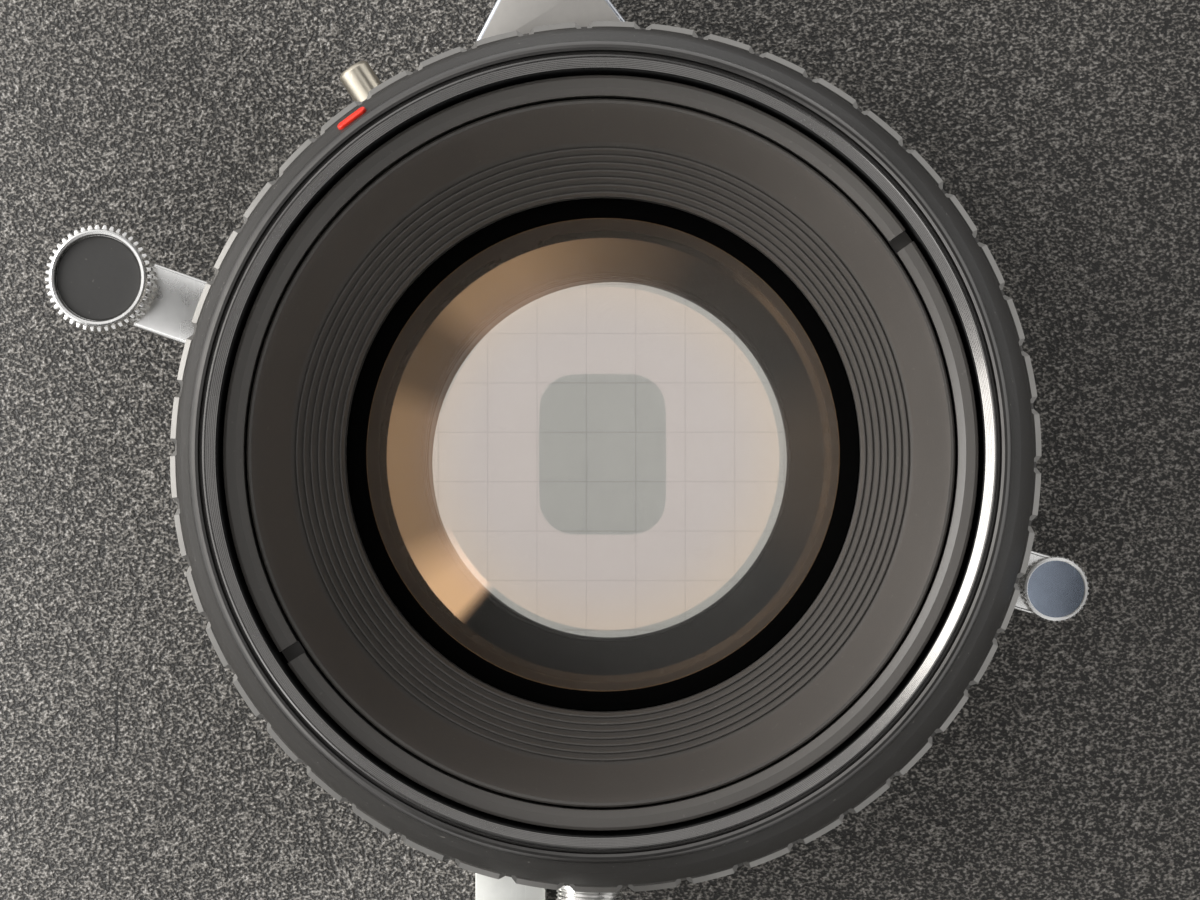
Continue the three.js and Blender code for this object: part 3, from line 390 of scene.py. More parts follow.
# %% All the finishes
skins = {
    "crinkle": crinkle_paint(),
    "anodised": black_finish("black_anodised", (0.028, 0.026, 0.0235), 0.5, 2600, 0.55),
    "ring_black": black_finish("ring_anodised", (0.05, 0.047, 0.043), 0.46, 1800, 0.4, 0.12),
    "matt": black_finish("black_aluminium", (0.085, 0.079, 0.0735), 0.4, 3000, 0.1),
    "painted": black_finish("black_paint", (0.021, 0.0205, 0.02), 0.42, 1500, 0.12),
    "worn_edge": black_finish("worn_paint", (0.03, 0.029, 0.028), 0.36, 1500, 0.12, 0.55),
    "flock": black_finish("dull_black", (0.004, 0.0036, 0.0032), 0.9, 3000),
    "thread": bright_metal("thread_metal", (0.2, 0.193, 0.186), 0.22, 0.08, (1, 1, 1), 0.1),
    "lip": bright_metal("lip_metal", (0.13, 0.125, 0.12), 0.3, 0.08, (1, 1, 1), 0.1),
    "ring_rim": bright_metal("rim_metal", (0.3, 0.29, 0.275), 0.34, 0.12, (1, 1, 1), 0.2),
    "spun": bright_metal("spun_metal", (0.27, 0.31, 0.38), 0.14, 0.1, (1, 1, 1), 0.2),
    "insert": black_finish("black_insert", (0.03, 0.029, 0.028), 0.66, 1700, 0.15),
    "blade": black_finish("blade_steel", (0.03, 0.03, 0.032), 0.36, 900),
    "chrome": bright_metal("chrome", (0.86, 0.85, 0.83), 0.24, 0.08),
    "satin_chrome": bright_metal("satin_chrome", (0.62, 0.64, 0.68), 0.26, 0.14, (1, 1, 1), 0.8),
    "nickel": bright_metal("nickel", (0.7, 0.64, 0.53), 0.28, 0.3, (1, 1, 1), 0.6),
    "grey": bright_metal("grey_aluminium", (0.45, 0.43, 0.405), 0.42, 0.1, (1, 1, 1), 0.1),
    "pale": bright_metal("pale_aluminium", (0.8, 0.8, 0.76), 0.36, 0.1, (1, 1, 1), 0.2),
    "spring": bright_metal("spring_steel", (0.5, 0.5, 0.49), 0.22, 0.14, (1, 1, 0.04), 0.4),
    "rail": rail_metal(),
    "plastic": moulded_plastic(),
    "leather": bellows_leather(),
    "front_coat": coated_glass("coated_glass", 0.0268),
    "rear_coat": coated_glass("rear_coating", 0.0285, 0.1),
    "clear": plain_glass("clear_glass", 0.05),
    "ground": ground_screen(),
}
print(len(skins), "finishes")

# %% [markdown]
# ## Modelling helpers
# A solid of revolution is drawn as half a section, one point after another,
# and spun once round. The profile starts as a plane merged to one point.

# %% Solids of revolution
def only(obj):
    bpy.ops.object.select_all(action="DESELECT")
    obj.select_set(True)
    bpy.context.view_layer.objects.active = obj


def edit(mode="VERT", pick="SELECT"):
    bpy.ops.object.mode_set(mode="EDIT")
    bpy.ops.mesh.select_mode(type=mode)
    bpy.ops.mesh.select_all(action=pick)


def done():
    bpy.ops.object.mode_set(mode="OBJECT")
    return bpy.context.view_layer.objects.active


def settled(obj, turn=(0, 0, 0), place=(0, 0, 0)):
    """Turns and moves a piece, then writes that into its mesh."""
    only(obj)
    obj.rotation_euler = turn
    obj.location = place
    bpy.ops.object.transform_apply(location=True, rotation=True, scale=True)
    return obj


def turned(name, profile, sides=96, smooth=32):
    """A closed ring or a solid about Z, from [radius, height] points in mm."""
    bpy.ops.object.select_all(action="DESELECT")
    bpy.ops.mesh.primitive_plane_add(size=0.001)
    obj = bpy.context.active_object
    obj.name = name
    edit()
    bpy.ops.mesh.merge(type="CENTER")
    first = Vector((profile[0][0], 0, profile[0][1])) * MM
    bpy.ops.transform.translate(value=first)
    ring = profile[0][0] > 0 or profile[-1][0] > 0
    loop = list(profile) + ([profile[0]] if ring else [])
    for near, far in zip(loop, loop[1:]):
        step = Vector((far[0] - near[0], 0, far[1] - near[1])) * MM
        bpy.ops.mesh.extrude_region_move(TRANSFORM_OT_translate={"value": step})
    bpy.ops.mesh.select_all(action="SELECT")
    bpy.ops.mesh.spin(steps=sides, angle=math.tau, center=(0, 0, 0), axis=(0, 0, 1))
    bpy.ops.mesh.select_all(action="SELECT")
    bpy.ops.mesh.remove_doubles(threshold=2e-6)
    bpy.ops.mesh.select_all(action="SELECT")
    bpy.ops.mesh.normals_make_consistent(inside=False)
    done()
    only(obj)
    bpy.ops.object.shade_smooth_by_angle(angle=math.radians(smooth))
    return obj


def arc(curve, start, stop, crown, steps=12):
    """Points of a spherical face between two radii, in mm."""
    points = []
    for i in range(steps + 1):
        radius = start + (stop - start) * i / steps
        sag = abs(curve) - math.sqrt(curve * curve - radius * radius)
        points.append((radius, crown - math.copysign(sag, curve)))
    return points


def polar(radius, degrees):
    angle = math.radians(degrees)
    return radius * math.cos(angle), radius * math.sin(angle)


def on_lens(obj, across=0.0, up=0.0, forward=0.0, turn=0.0):
    """Turns a piece from +Z to the lens direction and puts it on the board."""
    settled(obj, turn=(0, 0, math.radians(turn)))
    place = (across * MM, BOARD_Y - forward * MM, AXIS_Z + up * MM)
    return settled(obj, turn=(math.pi / 2, 0, 0), place=place)


# %% [markdown]
# A bevel is what makes machined metal look real, since every true edge
# catches a line of light. A copied solid is merged into one mesh first, and
# its flat faces are dissolved so that the bevel runs cleanly round them.

# %% Bevels and softened copies
def bevelled(obj, width, segments=2, angle=32, smooth=32, edge_slot=-1):
    only(obj)
    bevel = obj.modifiers.new("bevel", "BEVEL")
    bevel.width = width * MM
    bevel.segments = segments
    bevel.limit_method = "ANGLE"
    bevel.angle_limit = math.radians(angle)
    bevel.material = edge_slot
    bpy.ops.object.modifier_apply(modifier="bevel")
    bpy.ops.object.shade_smooth_by_angle(angle=math.radians(smooth))
    return obj


def finished(obj, skin, slot, body, *stands_for):
    if len(obj.data.materials) < 2:
        obj.data.materials.clear()
        obj.data.materials.append(skins[skin])
    if stands_for:
        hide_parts(*stands_for)
    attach(obj, body)
    return obj


def softened(node, skin, slot, width=0.6, segments=2, angle=32, edge=None):
    """A copy of a solid with rounded edges, which takes the solid's place."""
    source = nodes[node]
    obj = source.copy()
    obj.data = source.data.copy()
    obj.parent = None
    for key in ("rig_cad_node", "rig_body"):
        if key in obj:
            del obj[key]
    bpy.context.scene.collection.objects.link(obj)
    obj.name = node + "_piece"
    only(obj)
    bpy.ops.mesh.customdata_custom_splitnormals_clear()
    edit()
    bpy.ops.mesh.remove_doubles(threshold=1e-6)
    bpy.ops.mesh.select_all(action="SELECT")
    bpy.ops.mesh.dissolve_limited(angle_limit=math.radians(1.0))
    done()
    obj.data.materials.clear()
    obj.data.materials.append(skins[skin])
    if edge:
        obj.data.materials.append(skins[edge])
    bevelled(obj, width, segments, angle, edge_slot=1 if edge else -1)
    return finished(obj, skin, slot, source["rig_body"], node)


def painted_where(obj, skin, wanted):
    """Gives a second finish to the faces whose middle passes a test."""
    obj.data.materials.append(skins[skin])
    index = len(obj.data.materials) - 1
    for face in obj.data.polygons:
        middle = face.center - Vector((0, BOARD_Y, AXIS_Z))
        radius, depth = math.hypot(middle.x, middle.z) / MM, -middle.y / MM
        if wanted(radius, depth):
            face.material_index = index


def box_middle(node):
    """Across, up and forward of a solid's middle on the lens, in mm."""
    low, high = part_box(node)
    middle = (low + high) / 2 - Vector((0, BOARD_Y, AXIS_Z))
    return middle.x / MM, middle.z / MM, -middle.y / MM


# %% [markdown]
# ## Lens board and shutter
# The board is a flat sheet with crinkle paint. The shutter stands on it: a
# cup with its cover, a scalloped speed ring, and two levers.

# %% Board, housing and cover
softened("lens_board", "crinkle", "crinkle_black", 0.5)


HOUSING = 49.5
housing = turned("shutter_housing_piece", [
    (HOUSING, 0.3), (HOUSING, 11.7), (HOUSING - 0.3, 12.0), (46.5, 12.0), (46.5, 4.0),
    (22.3, 4.0), (22.0, 3.7), (22.0, -1.0), (27.6, -1.0), (27.6, -12.0), (31.0, -12.0), (31.0, 0.3),
], 128)
finished(on_lens(housing), "painted", "black_aluminium", "front_frame", "shutter_housing")
softened("shutter_cover", "flock", "black_aluminium", 0.15)
softened("shutter_top_plate", "grey", "grey_aluminium", 0.55, 3, 32, "satin_chrome")
softened("press_focus_slider", "chrome", "chrome", 0.3)
softened("aperture_ring", "pale", "pale_aluminium", 0.3)
for index in range(1, 6):
    for kind in ("shutter", "iris"):
        nodes[f"{kind}_blade_{index}"].data.materials.clear()
        nodes[f"{kind}_blade_{index}"].data.materials.append(skins["blade"])
print("shutter body placed")

# %% [markdown]
# The speed ring is turned by hand, so its edge is cut into wide lands with
# narrow valleys between them. It is spun as a plain ring whose sides divide
# evenly by the lands, and the sides that fall in a valley are scaled inwards.

# %% Speed ring
LANDS = 46
SIDES_PER_LAND = 10
RING_BACK, RING_FRONT = 17.3, 25.0
RING_RADIUS = 51.0
ring = turned("speed_ring_piece", [
    (36.3, RING_BACK), (RING_RADIUS - 0.6, RING_BACK), (RING_RADIUS, RING_BACK + 0.5),
    (RING_RADIUS, RING_FRONT - 0.7), (RING_RADIUS - 0.7, RING_FRONT), (36.3, RING_FRONT),
], LANDS * SIDES_PER_LAND)
only(ring)
edit("VERT", "DESELECT")
done()
pitch = 360 / LANDS
for vertex in ring.data.vertices:
    angle = math.degrees(math.atan2(vertex.co.y, vertex.co.x)) % 360
    phase = (angle % pitch) / pitch
    rim = math.hypot(vertex.co.x, vertex.co.y) > 0.049
    vertex.select = rim and 0.72 < phase < 0.93
bpy.ops.object.mode_set(mode="EDIT")
bpy.ops.transform.resize(value=(0.9885, 0.9885, 1), center_override=(0, 0, 0))
done()
bpy.ops.object.shade_smooth_by_angle(angle=math.radians(26))
finished(on_lens(ring), "ring_black", "black_anodised", "speed_ring", "speed_ring")
painted_where(ring, "ring_rim", lambda radius, depth: radius > 50.15)

# %% [markdown]
# Both levers are chromed strips with a turned knob. The cocking knob is a
# smooth ring with fine teeth below it, round a sunk black disc. The release
# knob is a low button with a spun face.

# %% Toothed knobs
def toothed(name, profile, teeth, low, high, depth, sides_per_tooth=6):
    """A turned knob whose side between two heights is cut into fine teeth."""
    obj = turned(name, profile, teeth * sides_per_tooth, 40)
    widest = max(point[0] for point in profile) * MM
    only(obj)
    edit("VERT", "DESELECT")
    done()
    share = 360 / teeth
    for vertex in obj.data.vertices:
        angle = math.degrees(math.atan2(vertex.co.y, vertex.co.x)) % 360
        phase = (angle % share) / share
        rim = math.hypot(vertex.co.x, vertex.co.y) > widest - 0.0006
        level = low * MM - 1e-6 <= vertex.co.z <= high * MM + 1e-6
        vertex.select = rim and level and 0.45 < phase < 0.95
    bpy.ops.object.mode_set(mode="EDIT")
    factor = 1 - depth * MM / widest
    bpy.ops.transform.resize(value=(factor, factor, 1), center_override=(0, 0, 0))
    done()
    bpy.ops.object.shade_smooth_by_angle(angle=math.radians(24))
    return obj


LEVER_FRONT = 16.7
knob = toothed("cocking_knob_piece", [
    (0, 0), (5.6, 0), (6.1, 0.35), (6.45, 0.7), (6.45, 4.2), (6.3, 4.5), (5.85, 4.62), (5.8, 4.9),
    (5.7, 5.2), (5.5, 5.3), (5.2, 5.25), (5.1, 5.05), (5.1, 3.9), (0, 3.9),
], 44, 0.6, 4.6, 0.4)
across, up, _ = box_middle("cocking_knob")
on_lens(knob, across, up, LEVER_FRONT + 0.3)
finished(knob, "chrome", "chrome", "cocking_lever", "cocking_knob")
disc = turned("cocking_disc_piece", [(0, 3.95), (5.0, 3.95), (5.0, 4.4), (4.85, 4.5), (0, 4.56)], 96)
on_lens(disc, across, up, LEVER_FRONT + 0.3)
finished(disc, "insert", "black_insert", "cocking_lever", "cocking_knob_disc")

knob = toothed("release_knob_piece", [
    (0, 0), (3.5, 0), (3.9, 0.3), (3.9, 3.7), (3.72, 3.95), (3.45, 4.0), (3.35, 3.9), (0, 3.8),
], 38, 0.25, 3.8, 0.26)
across, up, _ = box_middle("release_knob")
on_lens(knob, across, up, LEVER_FRONT + 0.3)
finished(knob, "chrome", "chrome", "release_lever", "release_knob")
knob.data.materials.append(skins["spun"])
for face in knob.data.polygons:
    middle = face.center - Vector((across * MM, BOARD_Y, AXIS_Z + up * MM))
    if math.hypot(middle.x, middle.z) < 3.4 * MM and face.normal.y < -0.9:
        face.material_index = 1
softened("cocking_lever", "chrome", "chrome", 0.5, 3)
softened("release_lever", "chrome", "chrome", 0.5, 3)

# %% [markdown]
# Two sockets stand on the housing wall: a worn nickel flash socket and a
# threaded chrome socket for a cable release.

# %% Sockets
def socket(name, radius, length, bore, thread):
    points = [(0, 0), (radius * 1.25, 0), (radius * 1.25, 0.8), (radius * 1.15, 1.1), (radius, 1.3)]
    height = 2.0
    while thread and height < length - 1.2:
        points += [(radius, height), (radius - 0.22, height + 0.25)]
        height += 0.5
    points += [(radius, length - 0.5), (radius - 0.25, length - 0.12), (radius - 0.45, length)]
    points += [(bore + 0.2, length), (bore, length - 0.25), (bore, 2.0), (0, 2.0)]
    return turned(name, points, 64)


for name, skin, slot, size, angle, depth in (
    ("sync_socket", "nickel", "nickel", (2.0, 6.9, 1.2, False), 123.2, 8.6),
    ("cable_release_socket", "chrome", "chrome", (4.0, 10.0, 1.8, True), -92.3, 10.8),
):
    obj = socket(name + "_piece", *size)
    settled(obj, turn=(-math.pi / 2, 0, 0))
    across, up = polar(HOUSING + 0.3, angle)
    on_lens(obj, turn=angle - 90)
    obj.data.transform(Matrix.Translation((across * MM, -depth * MM, up * MM)))
    finished(obj, skin, slot, "front_frame", name)

# %% [markdown]
# ## Front barrel and glass
# The barrel flares from a thin lip down to the shutter. Inside it there is a
# filter thread, a ring that holds the glass in, a satin cone and seven low
# ridges that keep stray light off the glass.

# %% Barrel
BARREL_FRONT = 57.0
profile = [(36, 17.3), (36, 25.3), (49.6, 25.3), (49.9, 25.6), (49.9, 26.8), (49.75, 27.2)]
profile += [(46.2, 52.0), (46.05, 52.3), (44.9, 54.4), (44.82, 54.8), (44.78, 55.9), (44.6, 56.5)]
profile += [(44.25, 56.9), (43.95, 57.0), (43.65, 56.85), (43.58, 56.5), (43.56, 55.9), (43.3, 55.9)]
profile += [(43.26, 56.5), (43.18, 56.75), (43.0, 56.8)]
THREAD_TURNS = 7
for i in range(THREAD_TURNS):
    radius, depth = 43.0 - 0.115 * i, 56.8 - 0.62 * i
    profile += [(radius - 0.115, depth - 0.06), (radius - 0.11, depth - 0.58)]
profile += [(42.2, 52.2), (42.2, 35.0), (32.0, 35.0), (32.0, 30.0), (28.6, 30.0), (28.6, 17.3)]
barrel = turned("front_barrel_piece", profile, 256, 28)
finished(on_lens(barrel), "anodised", "black_anodised", "front_frame", "front_barrel")
painted_where(barrel, "lip", lambda radius, depth: depth > 54.3 and 43.2 < radius < 44.95)
painted_where(barrel, "thread", lambda radius, depth: depth > 52.3 and radius < 43.2)
painted_where(barrel, "flock", lambda radius, depth: radius < 32.1 or (depth < 46 and radius < 42.5))

# %% Baffle
CONE_TOP, CONE_END = (39.1, 50.0), (34.7, 42.0)
MARGIN = (29.3, 38.0)
RIDGES = 7
profile = [(MARGIN[0], 35.3), (41.9, 35.3), (41.9, 46.0), (39.1, 46.0), (39.1, 49.8), (38.9, 50.0),
    (38.6, 50.0), (38.4, 49.7)]
for i in range(1, 9):
    share = i / 8
    radius = 38.4 + (CONE_END[0] - 38.4) * share
    depth = 49.7 + (CONE_END[1] - 49.7) * share
    profile.append((radius, depth - 0.25 * math.sin(math.pi * share)))
for i in range(RIDGES):
    for share, rise in ((0.18, 0.0), (0.38, 0.33), (0.56, 0.42), (0.74, 0.33), (0.94, 0.0)):
        across = (i + share) / RIDGES
        radius = CONE_END[0] + (MARGIN[0] - CONE_END[0]) * across
        depth = CONE_END[1] + (MARGIN[1] - CONE_END[1]) * across
        profile.append((radius, depth + rise))
profile.append(MARGIN)
baffle = turned("front_baffle_piece", profile, 192, 40)
finished(on_lens(baffle), "matt", "black_aluminium", "front_frame", "front_baffle")

# %% [markdown]
# The retaining ring is bare, with two slots for a spanner. The slots are
# cut with a boolean, because they break the round outline only there.

# %% Retaining ring
name_ring = turned("name_ring_piece", [
    (39.4, 46.3), (41.6, 46.3), (41.6, 51.1), (41.5, 51.3), (41.2, 51.4), (40.2, 51.2), (39.6,
        50.7), (39.4, 50.5),
], 192)
for angle in (35, 213):
    bpy.ops.object.select_all(action="DESELECT")
    across, up = polar(40.5, angle)
    place = (across * MM, up * MM, 50.2 * MM)
    bpy.ops.mesh.primitive_cube_add(size=1, location=place, rotation=(0, 0, math.radians(angle)))
    cutter = bpy.context.active_object
    cutter.scale = (5 * MM, 1.5 * MM, 2.6 * MM)
    only(name_ring)
    slot_cut = name_ring.modifiers.new("slot", "BOOLEAN")
    slot_cut.object = cutter
    slot_cut.operation = "DIFFERENCE"
    bpy.ops.object.modifier_apply(modifier="slot")
    bpy.data.objects.remove(cutter)
only(name_ring)
bpy.ops.object.shade_smooth_by_angle(angle=math.radians(28))
finished(on_lens(name_ring), "matt", "black_anodised", "front_frame", "name_ring")

# %% [markdown]
# The front glass is convex, with an amber coating. Its rim is painted black
# on the inside, which shows as a glossy black band round the clear part.

# %% Glass
GLASS_CURVE = 75
sag = GLASS_CURVE - math.sqrt(GLASS_CURVE ** 2 - 31.7 ** 2)
face = arc(GLASS_CURVE, 0, 31.7, 34 + sag, 40)
glass = turned("front_glass_piece", [(0, 30.3)] + [(31.7, 30.3)] + face[::-1], 160, 40)
on_lens(glass)
finished(glass, "front_coat", "coated_glass", "front_frame", "front_glass")
glass.data.materials.append(skins["clear"])
for polygon in glass.data.polygons:
    polygon.material_index = 0 if polygon.normal.y < -0.5 else 1

back = arc(-120, 0, 28.3, 18.3, 14)
front = arc(90, 0, 28.3, 27.0, 14)[::-1]
inner = turned("front_inner_glass_piece", back + front, 96, 40)
finished(on_lens(inner), "clear", "clear_glass", "front_frame", "front_inner_glass")

rear = turned("rear_glass_piece", arc(-80, 0, 30.2, -43.03, 20) + [(30.2, -35.3), (0, -35.3)], 96, 40)
on_lens(rear)
finished(rear, "clear", "coated_glass", "front_frame", "rear_glass")
rear.data.materials.append(skins["rear_coat"])
for polygon in rear.data.polygons:
    polygon.material_index = 1 if polygon.normal.y > 0.5 else 0

# %% [markdown]
# A red index mark sits on the chamfer of the barrel, over the flash socket.
# It is a raised drop of enamel, so it is a small rounded piece of its own.

# %% Index mark
def index_mark():
    paint = Paint("red_enamel")
    cloud = paint.noise(900, 3.0)
    paint.set(Base_Color=paint.blend((0.74, 0.012, 0.006), (0.95, 0.05, 0.015), cloud),
        Roughness=cloud * 0.1 + 0.3)
    return paint.bump(cloud, 0.3, 0.00004).material


skins["red"] = index_mark()
bpy.ops.object.select_all(action="DESELECT")
bpy.ops.mesh.primitive_cube_add(size=1)
mark = bpy.context.active_object
mark.name = "index_mark"
mark.scale = (1.25 * MM, 3.7 * MM, 0.5 * MM)
settled(mark)
edit("EDGE", "DESELECT")
done()
for side in mark.data.edges:
    first, second = (mark.data.vertices[i].co for i in side.vertices)
    side.select = abs(first.z - second.z) > 0.1 * MM
bpy.ops.object.mode_set(mode="EDIT")
bpy.ops.mesh.bevel(offset=0.6 * MM, segments=8, affect="EDGES")
done()
bevelled(mark, 0.14, 3, 40, 50)
slope = math.atan2(2.1, 1.15)
settled(mark, turn=(0, slope, 0), place=(45.6 * MM, 0, 53.35 * MM))
on_lens(mark, turn=126.6)
finished(mark, "red", "black_anodised", "front_frame")

# %% Rear cell
rear_barrel = turned("rear_barrel_piece", [
    (27.3, -1.3), (24.0, -1.3), (24.0, -34.8), (24.2, -35.0), (30.5, -35.0), (30.5, -43.7),
    (30.8, -44.0), (32.0, -44.0), (32.6, -43.8), (33.0, -43.2), (33.0, -12.6), (32.7, -12.3), (27.3, -12.3),
], 128)
finished(on_lens(rear_barrel), "anodised", "black_anodised", "front_frame", "rear_barrel")
nut = turned("retaining_ring_piece", [
    (31.3, -3.3), (38.7, -3.3), (39.0, -3.6), (39.0, -7.0), (38.6, -7.3), (31.6, -7.3), (31.3, -7.0),
], 128)
finished(on_lens(nut), "painted", "black_aluminium", "front_frame", "retaining_ring")
print("lens done")

# %% [markdown]
# ## Standards, rail and block
# These are machined castings and bars, so their solids are copied with
# softened edges. Turned parts are made again with enough sides to be round.

# %% Castings and bars
for node in ("tripod_block", "front_carriage", "rear_carriage", "front_yoke", "rear_yoke"):
    softened(node, "painted", "black_aluminium", 0.9, 3, 32, "worn_edge")
for node in ("front_frame", "rear_frame", "back_frame"):
    softened(node, "painted", "black_aluminium", 0.8, 3, 32, "worn_edge")
softened("rail", "rail", "satin_aluminium", 0.4, 2)
for node in ("rail_cap_front", "rail_cap_rear"):
    softened(node, "plastic", "knob_plastic", 0.5, 2)
for node in ("front_pivot_left", "front_pivot_right"):
    softened(node, "rail", "satin_aluminium", 0.5, 2)
for node in ("board_latch", "back_spring_left", "back_spring_right"):
    softened(node, "spring", "spring_steel", 0.3, 2)
softened("front_turntable", "rail", "satin_aluminium", 0.6, 2, 40)
softened("rear_turntable", "rail", "satin_aluminium", 0.6, 2, 40)
softened("bubble_level", "pale", "pale_aluminium", 0.5, 2)
nodes["ground_glass"].data.materials.clear()
nodes["ground_glass"].data.materials.append(skins["ground"])

# %% [markdown]
# The knobs are moulded with eight scalloped flutes round a turned grip. One
# is modelled, and each place gets its own scaled copy with its own mesh.

# %% Knobs
def fluted(name, radius, length):
    """A grip about Z with eight flutes, a domed face and a sunk middle for a centre."""
    neck = length * 0.25
    profile = [(0, 0), (radius * 0.6, 0), (radius * 0.6, neck), (radius * 0.9, neck), (radius, neck + 0.9)]
    profile += [(radius, length - 1.4), (radius * 0.96, length - 0.5), (radius * 0.88, length)]
    profile += [(radius * 0.42, length - 0.1), (radius * 0.4, length - 0.7), (0, length - 0.7)]
    obj = turned(name, profile, 96, 34)
    for vertex in obj.data.vertices:
        reach = math.hypot(vertex.co.x, vertex.co.y)
        if reach > radius * 0.75 * MM:
            angle = math.atan2(vertex.co.y, vertex.co.x)
            dip = max(0.0, math.cos(8 * angle)) ** 2
            factor = 1 - 0.11 * dip
            vertex.co.x *= factor
            vertex.co.y *= factor
    return obj


def stud(name, radius, height):
    """A metal stud for the middle of a knob."""
    obj = turned(name, [(0, 0), (radius, 0), (radius, height - 0.3), (radius - 0.3, height), (0, height)], 48)
    return obj


for node in ("rail_clamp_knob", "front_focus_knob", "rear_focus_knob", "front_tilt_knob_left",
             "front_tilt_knob_right", "rear_tilt_knob_left", "rear_tilt_knob_right"):
    low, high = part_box(node)
    side = -1 if node.endswith("left") else 1
    middle = (low + high) / 2
    start = low.x if side > 0 else high.x
    radius = (high.z - low.z) / 2 / MM
    length = (high.x - low.x) / MM
    place = (start, middle.y, middle.z)
    grip = fluted(node + "_piece", radius, length)
    settled(grip, turn=(0, side * math.pi / 2, 0), place=place)
    body = nodes[node]["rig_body"]
    finished(grip, "plastic", "knob_plastic", body, node)
    centre = stud(node + "_stud", radius * 0.34, length - 0.9)
    settled(centre, turn=(0, side * math.pi / 2, 0), place=place)
    centre.data.transform(Matrix.Translation((side * 0.7 * MM, 0, 0)))
    finished(centre, "spring", "spring_steel", body)
print("knobs done")

# %% [markdown]
# ## Bellows
# A bellows is one folded tube. It has to follow eight joints between the two
# frames, so it is made as eight lengths that meet in a fold. The folds are
# square in section, with a wide ridge and a narrow valley.

# %% Bellows lengths
FOLDS = [2, 2, 2, 2, 4, 4, 2, 2]
bellows_low, bellows_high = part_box("bellows")
BELLOWS_HALF = (bellows_high.x - bellows_low.x) / 2 / MM
FOLD_DEPTH = 9.0
PITCH = (bellows_high.y - bellows_low.y) / sum(FOLDS) / MM


PLEAT = ((0.42, 0.94), (0.5, 1.0), (0.58, 0.94), (0.92, 0.06), (1.0, 0.0))


def bellows_length(name, start, folds):
    """Square pleats along +Y from `start`, as one open tube with a wall."""
    bpy.ops.object.select_all(action="DESELECT")
    half = BELLOWS_HALF - FOLD_DEPTH
    bpy.ops.mesh.primitive_plane_add(size=2 * half * MM)
    obj = bpy.context.active_object
    obj.name = name
    edit("EDGE")
    bpy.ops.mesh.subdivide(number_cuts=3)
    bpy.ops.mesh.select_all(action="SELECT")
    bpy.ops.mesh.delete(type="ONLY_FACE")
    done()
    only(obj)
    inside = half * MM - 1e-5
    edit("VERT", "DESELECT")
    done()
    for vertex in obj.data.vertices:
        vertex.select = abs(vertex.co.x) < inside and abs(vertex.co.y) < inside
    bpy.ops.object.mode_set(mode="EDIT")
    bpy.ops.mesh.delete(type="VERT")
    bpy.ops.mesh.select_all(action="SELECT")
    current = 0.0
    reach = half
    for fold in range(folds):
        for share, out in PLEAT:
            target = half + FOLD_DEPTH * out
            along = (fold + share) * PITCH
            step = (0, 0, (along - current) * MM)
            bpy.ops.mesh.extrude_edges_move(TRANSFORM_OT_translate={"value": step})
            factor = target / reach
            bpy.ops.transform.resize(value=(factor, factor, 1), center_override=(0, 0, 0))
            current, reach = along, target
    bpy.ops.mesh.select_all(action="SELECT")
    bpy.ops.mesh.normals_make_consistent(inside=False)
    done()
    wall = obj.modifiers.new("wall", "SOLIDIFY")
    wall.thickness = 1.0 * MM
    wall.offset = -1
    bpy.ops.object.modifier_apply(modifier="wall")
    only(obj)
    bpy.ops.object.shade_smooth_by_angle(angle=math.radians(25))
    settled(obj, turn=(-math.pi / 2, 0, 0), place=(0, start, AXIS_Z))
    return obj


start = bellows_low.y
bellows_pieces = []
for index, folds in enumerate(FOLDS):
    piece = bellows_length(f"bellows_{index + 1}", start, folds)
    piece.data.materials.clear()
    piece.data.materials.append(skins["leather"])
    end = start + folds * PITCH * MM
    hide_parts("bellows")
    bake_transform(piece)
    bellows_pieces.append(piece)
    start = end
print(len(bellows_pieces), "lengths of bellows")

# %% [markdown]
# ## Light and floor
# One large soft light stands to the left of the lens and slightly above it,
# and a weaker one lights the back. The world is white to the camera and in
# reflections, and dimmer as a lamp, so the object keeps its contrast.

# %% World and lamps
world = bpy.data.worlds.new("studio")
bpy.context.scene.world = world
world.use_nodes = True
tree = world.node_tree
tree.nodes.clear()
path = tree.nodes.new("ShaderNodeLightPath")
seen = tree.nodes.new("ShaderNodeMath")
seen.operation = "MAXIMUM"
tree.links.new(path.outputs["Is Camera Ray"], seen.inputs[0])
tree.links.new(path.outputs["Is Glossy Ray"], seen.inputs[1])
seen_too = tree.nodes.new("ShaderNodeMath")
seen_too.operation = "MAXIMUM"
tree.links.new(seen.outputs[0], seen_too.inputs[0])
tree.links.new(path.outputs["Is Transmission Ray"], seen_too.inputs[1])
white = tree.nodes.new("ShaderNodeBackground")
white.inputs["Strength"].default_value = 1.0
white.inputs["Color"].default_value = (1, 1, 1, 1)
dim = tree.nodes.new("ShaderNodeBackground")
dim.inputs["Strength"].default_value = 0.38
dim.inputs["Color"].default_value = (1, 0.985, 0.96, 1)
mix = tree.nodes.new("ShaderNodeMixShader")
out = tree.nodes.new("ShaderNodeOutputWorld")
tree.links.new(seen_too.outputs[0], mix.inputs[0])
tree.links.new(dim.outputs[0], mix.inputs[1])
tree.links.new(white.outputs[0], mix.inputs[2])
tree.links.new(mix.outputs[0], out.inputs["Surface"])


def soft_light(name, place, target, size, watts):
    light = bpy.data.lights.new(name, "AREA")
    light.shape = "SQUARE"
    light.size = size
    light.energy = watts
    light.color = (1.0, 0.985, 0.96)
    obj = bpy.data.objects.new(name, light)
    bpy.context.scene.collection.objects.link(obj)
    obj.location = place
    obj.rotation_euler = (Vector(target) - Vector(place)).to_track_quat("-Z", "Y").to_euler()
    return obj


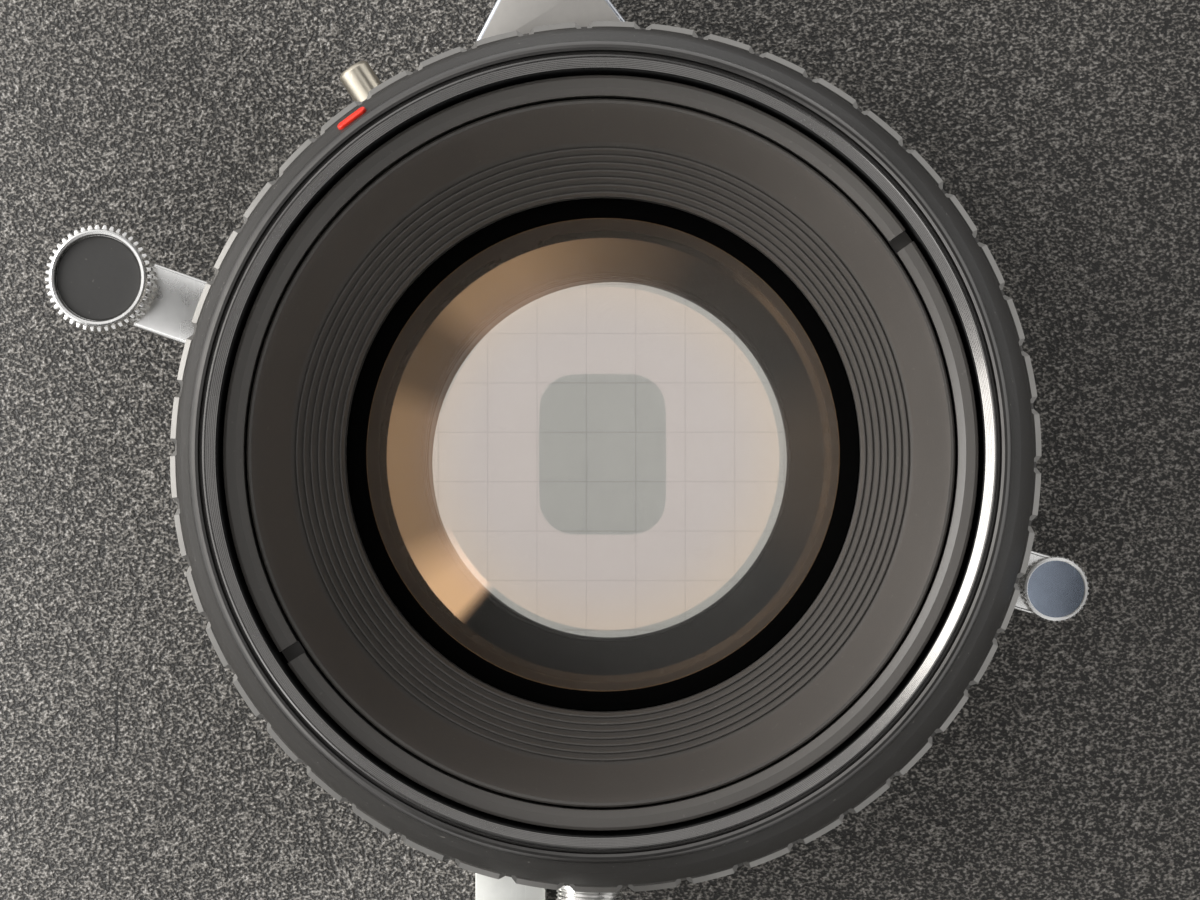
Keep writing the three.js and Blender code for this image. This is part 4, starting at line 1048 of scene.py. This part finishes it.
lens_front = (0, RING_Y, AXIS_Z)
soft_light("key", (-0.55, RING_Y - 0.25, AXIS_Z + 0.13), lens_front, 0.5, 6.0)
soft_light("back", (0.5, 0.95, 0.85), (0, REAR_Y, AXIS_Z), 0.8, 6.0)

bpy.ops.object.select_all(action="DESELECT")
bpy.ops.mesh.primitive_plane_add(size=6, location=(0, 0, 0))
floor = bpy.context.active_object
floor.name = "floor"
settled(floor)
paper = Paint("paper")
paper.set(Base_Color=paper.blend((0.74, 0.73, 0.71), (0.8, 0.79, 0.77), paper.noise(6, 3.0)), Roughness=0.9)
floor.data.materials.append(paper.material)
floor.visible_glossy = False

# %% [markdown]
# Glass shows whatever stands in front of it. A dark card hangs just behind
# the camera, and a ring of cards round it runs from bright on the left to
# black below, so that the curved coating has something to reflect. They are
# seen in reflections only. They cast no shadow and light no matte surface, but
# the ring glows, so glass and metal on the object do show its light.

# %% Reflection cards
GLASS_Y = BOARD_Y - 41 * MM


def reflected_only(card, paint):
    card.data.materials.append(paint.material)
    card.visible_camera = False
    card.visible_diffuse = False
    card.visible_shadow = False
    card.visible_transmission = False


# The dark card is a painted reflection: a dark shape that shows only in the glass.
bpy.ops.object.select_all(action="DESELECT")
bpy.ops.mesh.primitive_plane_add(size=1)
card = bpy.context.active_object
card.name = "dark_card"
card.scale = (0.226, 0.288, 1)
settled(card, turn=(math.pi / 2, 0, 0), place=(-0.0095, GLASS_Y - 0.5, AXIS_Z + 0.008))
edit("VERT")
bpy.ops.mesh.bevel(offset=0.06, segments=6, affect="VERTICES")
done()
dark = Paint("dark_card")
dark.set(Base_Color=(0, 0, 0), Roughness=1.0, Specular_IOR_Level=0.0)
reflected_only(card, dark)

TENT_DEPTH = 0.3
NEAR, FAR = (TENT_DEPTH * math.tan(math.radians(angle)) for angle in (35.5, 60))
tent = turned("card_ring", [(NEAR / MM, 0), (FAR / MM, 0), (FAR / MM, 1), (NEAR / MM, 1)], 96)
settled(tent, turn=(math.pi / 2, 0, 0), place=(0, GLASS_Y - TENT_DEPTH, AXIS_Z))
glow = Paint("card_ring")
parts = glow.node("SeparateXYZ", {}, {0: glow.mapped(shift=(0, 0, -AXIS_Z))})
height = Wire(glow, parts.socket.node.outputs["Z"])
angle = glow.node("Math", {"operation": "ARCTAN2"}, {0: height, 1: parts})
share = glow.between_linear(angle, -math.pi, math.pi)
# The ring's glow is painted reflection: its levels by angle set the bright and dark parts that the coating
# shows round its ring.
painted_reflection_levels = [(0.0, 1.0), (0.06, 0.95), (0.1, 2.9), (0.125, 2.9), (0.135, 0.01), (0.40, 0.02), (0.46, 0.12),
          (0.52, 0.16), (0.58, 0.05), (0.68, 0.08), (0.75, 0.45), (0.82, 1.1), (0.87, 1.1),
          (0.9, 0.38), (0.94, 0.38), (0.965, 1.0)]
stops = [(place, [level / 3] * 3) for place, level in painted_reflection_levels]
ramp = glow.node("ValToRGB", {"stops": stops}, {0: share})
glow.set(Base_Color=(0, 0, 0), Roughness=1.0, Specular_IOR_Level=0.0, Emission_Color=ramp,
    Emission_Strength=3.0)
reflected_only(tent, glow)
